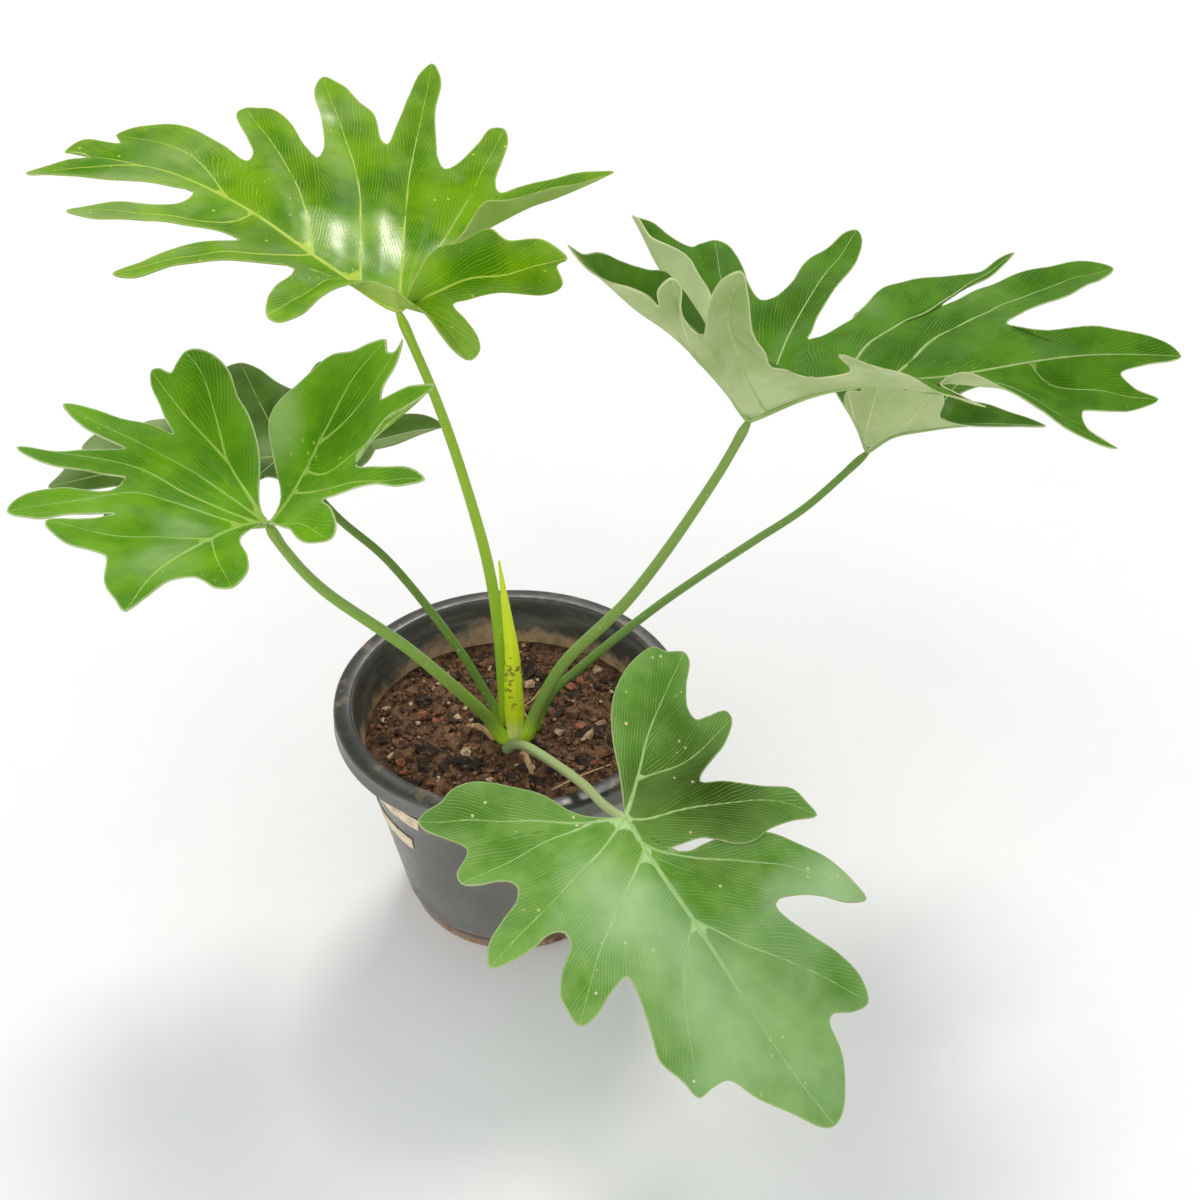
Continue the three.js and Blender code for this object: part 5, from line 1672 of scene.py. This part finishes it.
                Lobe(0.05, [(119, 84)], (125, 99), [(109, 96)], (81, 90)),
                Lobe(-0.5, [(84, 111)], (82, 125), [(68, 117)], (49, 96)),
                Lobe(-1, [(43, 101)], (26, 103), [(16, 82), (16, 58), (10, 29)]),
            ],
        ),
    ),
    "f": Leaf(
        "leaf_f", junction=(68, -166, 215), heading=-55, puff=2.6,
        bend=Bend(-0.5, -0.0006, 0.5, 0, 0.05, 0, 0.05, 0),
        shades=[(44, -45, 34, 0.75), (83, -12, 34, 0.5), (99, 92, 26, 0.9), (85, 53, 34, 0.55),
                (126, -32, 34, 0.6), (160, 20, 34, 0.5), (18, 62, 40, -1), (-6, 18, 26, -0.5),
                (-41, 64, 30, -0.25), (-35, -69, 34, -0.2), (60, 26, 26, -0.35)],
        midrib=[(25, -4), (75, -4), (125, -4), (160, -2), (189, 3)],
        right=HalfBlade(
            hind_rib=(-11, -23), tip_notch=(145, -42),
            tip_margin=[(186, -6), (173, -19), (159, -32)],
            lobes=[
                Lobe(0.36, [(143, -53)], (142, -64), [(134, -67), (120, -74), (108, -70), (89, -63.4)],
                     (77, -62.4), [(91, -31)]),
                Lobe(0.12, [(79, -76), (85, -93)], (84, -104), [(74, -106), (68, -105), (57, -94), (49, -82)],
                     (42, -81), [(36, -27), (55, -63)]),
                Lobe(0, [(39, -89), (41, -103), (41, -116)], (37, -131), [(27, -124), (20, -109), (14, -94)],
                     (7, -89), [(12, -30), (21, -67)]),
                Lobe(-0.8, [(-1, -94), (-6, -106)], (-13, -114), [(-19, -113)], (-28, -99), [(-11, -59)]),
                Lobe(-1, [(-39, -106), (-50, -114)], (-56, -114), [(-59, -107), (-59, -95), (-61, -87),
                     (-60, -76), (-55, -61), (-47, -49), (-36, -37), (-20, -26)], None, [(-31, -62)]),
            ],
        ),
        left=HalfBlade(
            hind_rib=(-22, 30), tip_notch=(150, 35),
            tip_margin=[(186, 13), (172, 27), (163, 32)],
            lobes=[
                Lobe(0.36, [(148, 40), (153, 54)], (153, 66), [(141, 70), (126, 66), (111, 57), (95, 48)],
                     (88, 47), [(101, 23), (129, 49)]),
                Lobe(0.1, [(86, 52), (89, 62), (98, 78), (108, 93)], (111, 105), [(100, 104), (84, 98),
                     (68, 86, -0.6), (55, 76, -1.6), (48.5, 65, -2.2), (44.7, 52, -2.2), (39.8, 39.5, -1.8),
                     (38, 31, -0.8), (36.6, 20.9)], (30.2, 8.5), [(26, 1.2), (34, 10.5), (49, 32.6), (63, 56),
                     (73, 71), (93, 90)]),
                Lobe(0, [(33, 23.5), (36, 32.6), (42.5, 41), (48.4, 48.5), (53, 61.3), (52.6, 74.6),
                     (55, 90)], (60, 109), [(51, 108), (41, 105), (29, 88), (16, 69)], (8, 55), [(6.5, 6.3),
                     (15.5, 31.4), (27, 63.4), (42, 92.7)]),
                Lobe(-0.8, [(-1, 72), (-7, 90)], (-18, 106), [(-24, 106), (-27, 92)], (-29, 84), [(-12, 60)]),
                Lobe(-1, [(-37, 84), (-49, 93), (-63, 108)], (-70, 109), [(-76, 97), (-81, 92), (-80, 76),
                     (-73, 56), (-61, 39), (-42, 25), (-25, 16)], None, [(-37, 50)]),
            ],
        ),
    ),
}

# Each stalk's radii at its foot, its waist and its head, and its route from the crown.
STALKS = {
    "a": Stalk("stalk_a", 5.2, 4.4, 2.7,
               [(-3, 3, 147), (-4, 3, 182), (-6, 2, 244), (-11, 1, 296), (-26, 1, 374), (-38, 0, 423),
                (-50, 0, 462)]),
    "b": Stalk("stalk_b", 5.5, 4.4, 3.0,
               [(-3, -13, 145), (-10, -13.5, 157), (-17, -16.5, 174), (-26, -23, 192), (-64, -47, 261),
                (-112, -77, 336), (-128, -92, 376)]),
    "c": Stalk("stalk_c", 4.0, 3.2, 2.8,
               [(-6, 3, 145), (-9, 6, 156), (-19, 14, 175), (-37, 24, 208), (-81, 46, 268), (-115, 60, 298)]),
    "d": Stalk("stalk_d", 5.5, 4.5, 2.8,
               [(9, -14, 145), (13, -14, 157), (18, -13.5, 172), (37, -14, 214), (84, -23, 279),
                (134, -34, 375)]),
    "e": Stalk("stalk_e", 4.6, 3.3, 2.6,
               [(15, -5, 145), (20, 0, 157), (31, 9, 171), (55, 15, 192), (105, 24, 232), (141, 33, 254),
                (177, 41, 275), (212, 47, 297)]),
    "f": Stalk("stalk_f", 4.8, 3.6, 2.9,
               [(-3, -23, 147), (1, -26, 154), (8, -36, 162), (20, -60, 174), (46, -114, 195),
                (56, -139, 202)]),
}

# Surface roots and the dry twig: radius, taper and route.
ROOTS = [
    (3.2, 0.5, [(8, -30, 149), (10, -37, 150), (12, -44, 149), (14, -51, 145)]),
    (2.8, 0.6, [(14, -24, 149), (18, -29, 150), (21, -33, 149), (20, -38, 145)]),
    (3.0, 0.4, [(-28, 3, 147), (-22, -2, 151), (-16, -8, 150), (-12, -12, 146)]),
    (1.1, 0.3, [(26, -67, 147), (45, -57, 149), (69, -44, 147)]),
    (0.9, 0.3, [(12, 6, 150), (10, 16, 152), (17, 26, 151), (24, 42, 148)]),
]

# The blank label's strips: first and last azimuth in degrees, top, bottom and the right end's slant.
LABEL_STRIPS = [
    ("label_upper", -176, -127.5, 143, 130, 1.5),
    ("label_lower", -178, -135, 112, 99.5, 1),
]


# The blades' upper skins: waxed living leaf tissue. A young leaf is lime and glossy, so its highlights are
# crisp. The older ones are darker and duller, and the oldest is the palest, with the strongest painted sheen.
# On each, painted sheen and painted shade lie in patches, with a painted glow towards the margin.
UPPER = {
    "a": BladeFinish(
        "glossy lime young leaf", "#72a600", "#4a8400", "#2a5e00", "#c2da38", "#b8cc6c", "#c8e084",
        painted_sheen_share=0.42, roughness=0.25, specular=0.05, gloss=0.55, dots=0.9, edge=0.12, lines=0.6),
    "b": BladeFinish(
        "fresh green leaf", "#6aa40a", "#4c8602", "#346200", "#a4ca4c", "#c2d394", "#99bb66",
        painted_sheen_share=0.6, roughness=0.36, specular=0.06, gloss=0.28, dots=0.4, edge=0.1, lines=0.55),
    "c": BladeFinish(
        "dark green leaf", "#486c12", "#36560a", "#2c4a06", "#6c8c34", "#9cb070", "#a2b87e",
        painted_sheen_share=0.7, roughness=0.42, specular=0.08, gloss=0.2, edge=0.1),
    "d": BladeFinish(
        "deep green leaf", "#528612", "#3a6c04", "#2b5402", "#94b452", "#cfdaa4", "#74983e",
        painted_sheen_share=0.5, roughness=0.38, specular=0.06, gloss=0.25, dots=0.2, edge=0.1, lines=0.6),
    "e": BladeFinish(
        "deep green lower leaf", "#4e7c18", "#366208", "#2b5006", "#7b9c40", "#c2cf9e", "#6c8e40",
        painted_sheen_share=0.3, roughness=0.4, specular=0.08, gloss=0.2, edge=0.1),
    "f": BladeFinish(
        "dull green old leaf", "#7ca848", "#5e902e", "#3a560f", "#c4e49c", "#b2c686", "#b4da9c",
        painted_sheen_share=0.85, roughness=0.36, specular=0.06, gloss=0.34, dots=0.9, dot="#ecdcae", edge=0.1,
        lines=0.5, line_gap=7),
}
# The undersides: the same tissue without the wax. They are sage and matt, with hardly a highlight.
UNDER = {
    "a": BladeFinish(
        "lime leaf underside", "#a8c658", "#90b244", "#84a63c", "#bccf7c", "#bccd80", "#b4ce70",
        painted_sheen_share=0.2, roughness=0.55),
    "b": BladeFinish(
        "pale leaf underside", "#a6be70", "#90ac58", "#869f50", "#c4d290", "#c5d09c", "#b8ca8c",
        painted_sheen_share=0.2, roughness=0.6),
    "c": BladeFinish(
        "grey green underside", "#8aa064", "#779054", "#6c844c", "#a9ba84", "#b0bd90", "#9cae7e",
        painted_sheen_share=0.2, roughness=0.6),
    "d": BladeFinish(
        "sage leaf underside", "#c2d299", "#aec281", "#88a653", "#ecf0be", "#e6e8a8", "#ccd8b0",
        painted_sheen_share=0.3, roughness=0.6, lines=0.25),
    "e": BladeFinish(
        "sage lower underside", "#b9cc8c", "#a6ba76", "#98ac68", "#e2e8b4", "#d2d89a", "#c0ce9c",
        painted_sheen_share=0.3, roughness=0.6, lines=0.25),
    "f": BladeFinish(
        "pale old underside", "#a2b874", "#8ea65e", "#849b56", "#bccc94", "#c0cc9c", "#b0c288",
        painted_sheen_share=0.2, roughness=0.6),
}
# The thin margins: bare tissue that light shines through, so each reads as a pale line around its blade.
RIMS = {
    "a": PlainFinish("lime leaf edge", "#a8c25a", "#8aaa3a", 60, 0.5),
    "b": PlainFinish("cream leaf edge", "#c3cf92", "#98b060", 60, 0.5),
    "c": PlainFinish("dark leaf edge", "#8ba164", "#6c864a", 60, 0.5),
    "d": PlainFinish("pale leaf edge", "#ccd498", "#a2b268", 60, 0.5),
    "e": PlainFinish("pale lower edge", "#bcc898", "#90a66c", 60, 0.5),
    "f": PlainFinish("brown leaf edge", "#b2c084", "#94884a", 40, 0.6),
}
# The ribs: smooth, firm tissue, lighter than the blade, so that they draw its lobes.
VEINS = {
    "a": PlainFinish("yellow green ribs", "#b8d244", "#a2c030", 60, 0.45),
    "b": PlainFinish("light green ribs", "#9cc050", "#86ac3a", 60, 0.45),
    "c": PlainFinish("dull green ribs", "#8ea85a", "#7a9646", 60, 0.5),
    "d": PlainFinish("pale green ribs", "#a8c476", "#92b05c", 60, 0.5),
    "e": PlainFinish("pale lower ribs", "#a2bb76", "#8ea85e", 60, 0.5),
    "f": PlainFinish("pale old ribs", "#a8cc7e", "#94b868", 60, 0.5),
}
# The stalks: smooth, juicy tissue, yellower towards the foot where the light shines through it.
STEMS = {
    "a": StalkFinish("lime leaf stalk", "#9cc430", "#b6d636", "#82b222", foot_length=60),
    "b": StalkFinish("green leaf stalk", "#8cb04a", "#c4f432", "#6f9936", foot_length=32),
    "c": StalkFinish("olive leaf stalk", "#6c9038", "#8cb838", "#567c28"),
    "d": StalkFinish("fresh leaf stalk", "#84a44a", "#c4f432", "#678d3a", foot_length=32),
    "e": StalkFinish("shaded leaf stalk", "#739744", "#a4d030", "#5a8032"),
    "f": StalkFinish("pale leaf stalk", "#aebf82", "#96ac70", "#8ba65c", foot_length=40),
}


# What lies loose on the soil, from fine crumbs to chips of brick and stone. Each is broken and matt, and they
# differ in tone, so the bed reads as a coarse, airy mix.
STREWN = [
    Strewn("soil_crumbs", EarthFinish("soil crumbs", "#3a281d", "#86644c", "#c4a280", 230, 0.5),
           1100, (0.9, 3.6), 0.7),
    Strewn("soil_clods", EarthFinish("soil clods", "#38241a", "#846048", "#b88e6c", 130, 1.2),
           170, (3, 9), 0.5),
    Strewn("soil_bark", EarthFinish("dark bark flakes", "#1b1410", "#41332b", "#8a7363", 90, 0.6),
           85, (5, 13), 0.1, 1.4),
    Strewn("soil_brick", EarthFinish("red brick chips", "#7c4c38", "#a86c50", "#cc9c80", 170, 0.5),
           60, (2, 6), 0.65, 0.6),
    Strewn("soil_pale_chips", EarthFinish("beige stone chips", "#a4866a", "#d0b394", "#ecd8bc", 200, 0.3),
           80, (1.6, 5.5), 0.5, 0.8),
]

# Damp earth: dark between its grains and dusty on top.
BED = EarthFinish("damp loose soil", "#2e1f15", "#765640", "#b08c6a", 130, 1.8)
# Dry fibrous roots, which catch the light as thin pale lines, and the fleshy cream ones that came up for air.
ROOTLET = EarthFinish("dry tan root", "#6e4f36", "#977350", "#b99a74", 220, 0.4)
ROOT = EarthFinish("cream surface root", "#9c7a54", "#cdac82", "#e8d4b2", 220, 0.4)
# The crown's fibrous skin, brown with green growth showing through it.
STUMP = EarthFinish("fibrous brown crown", "#2c2014", "#6a5430", "#9aa24a", 220, 1.2)
# The sheath is thin young tissue: light glows through it, and its waist has brown blotches.
SHEATH = StalkFinish("lime sheath", "#e2f82c", "#fdffa6", "#b4d220", 0.4, 0.4, speck_share=0.8,
                     speck_band=(34, 84))
# Coated paper, left out in the weather: creamy, and stained in soft clouds.
PAPER = PlainFinish("weathered coated paper", "#efe0c0", "#c4a57c", 110)
# A matt, nearly white floor: it holds only the soft shadows, so the plant stands as if on plain white.
FLOOR = PlainFinish("pale matt floor", "#f7f7f6", "#f5f5f4", 3, 0.8, 0)


def report(*pieces: Piece) -> None:
    """Logs each piece with its count of faces."""
    for piece in pieces:
        log.info("%s: %d faces", piece.name, len(piece.data.polygons))


def main() -> None:
    """Builds and dresses the part, and reports each piece."""
    logging.basicConfig(level=logging.INFO, format="%(message)s")
    Studio().build(FLOOR.material())
    log.info("studio")
    pot = Pot()
    report(pot.build(PotFinish().material()))
    soil = Soil(pot)
    report(soil.build(BED.material()))
    for chips in STREWN:
        report(soil.strew(chips))
    report(soil.rootlets(ROOTLET.material()))
    report(soil.rods("surface_roots", ROOT.material(), ROOTS, 12))
    report(Crown().build(STUMP.material()))
    report(Spear().build(SHEATH.material()))
    paper = PAPER.material()
    for name, first, last, top, bottom, slant in LABEL_STRIPS:
        report(LabelStrip(name, first, last, top, bottom, slant, pot).build(paper))
    for letter, leaf in LEAVES.items():
        faces = [finishes[letter].material() for finishes in (UPPER, UNDER, RIMS)]
        report(*leaf.build(faces, VEINS[letter].material()))
        report(STALKS[letter].build(leaf.junction, STEMS[letter].material()))


if __name__ == "__main__":
    main()
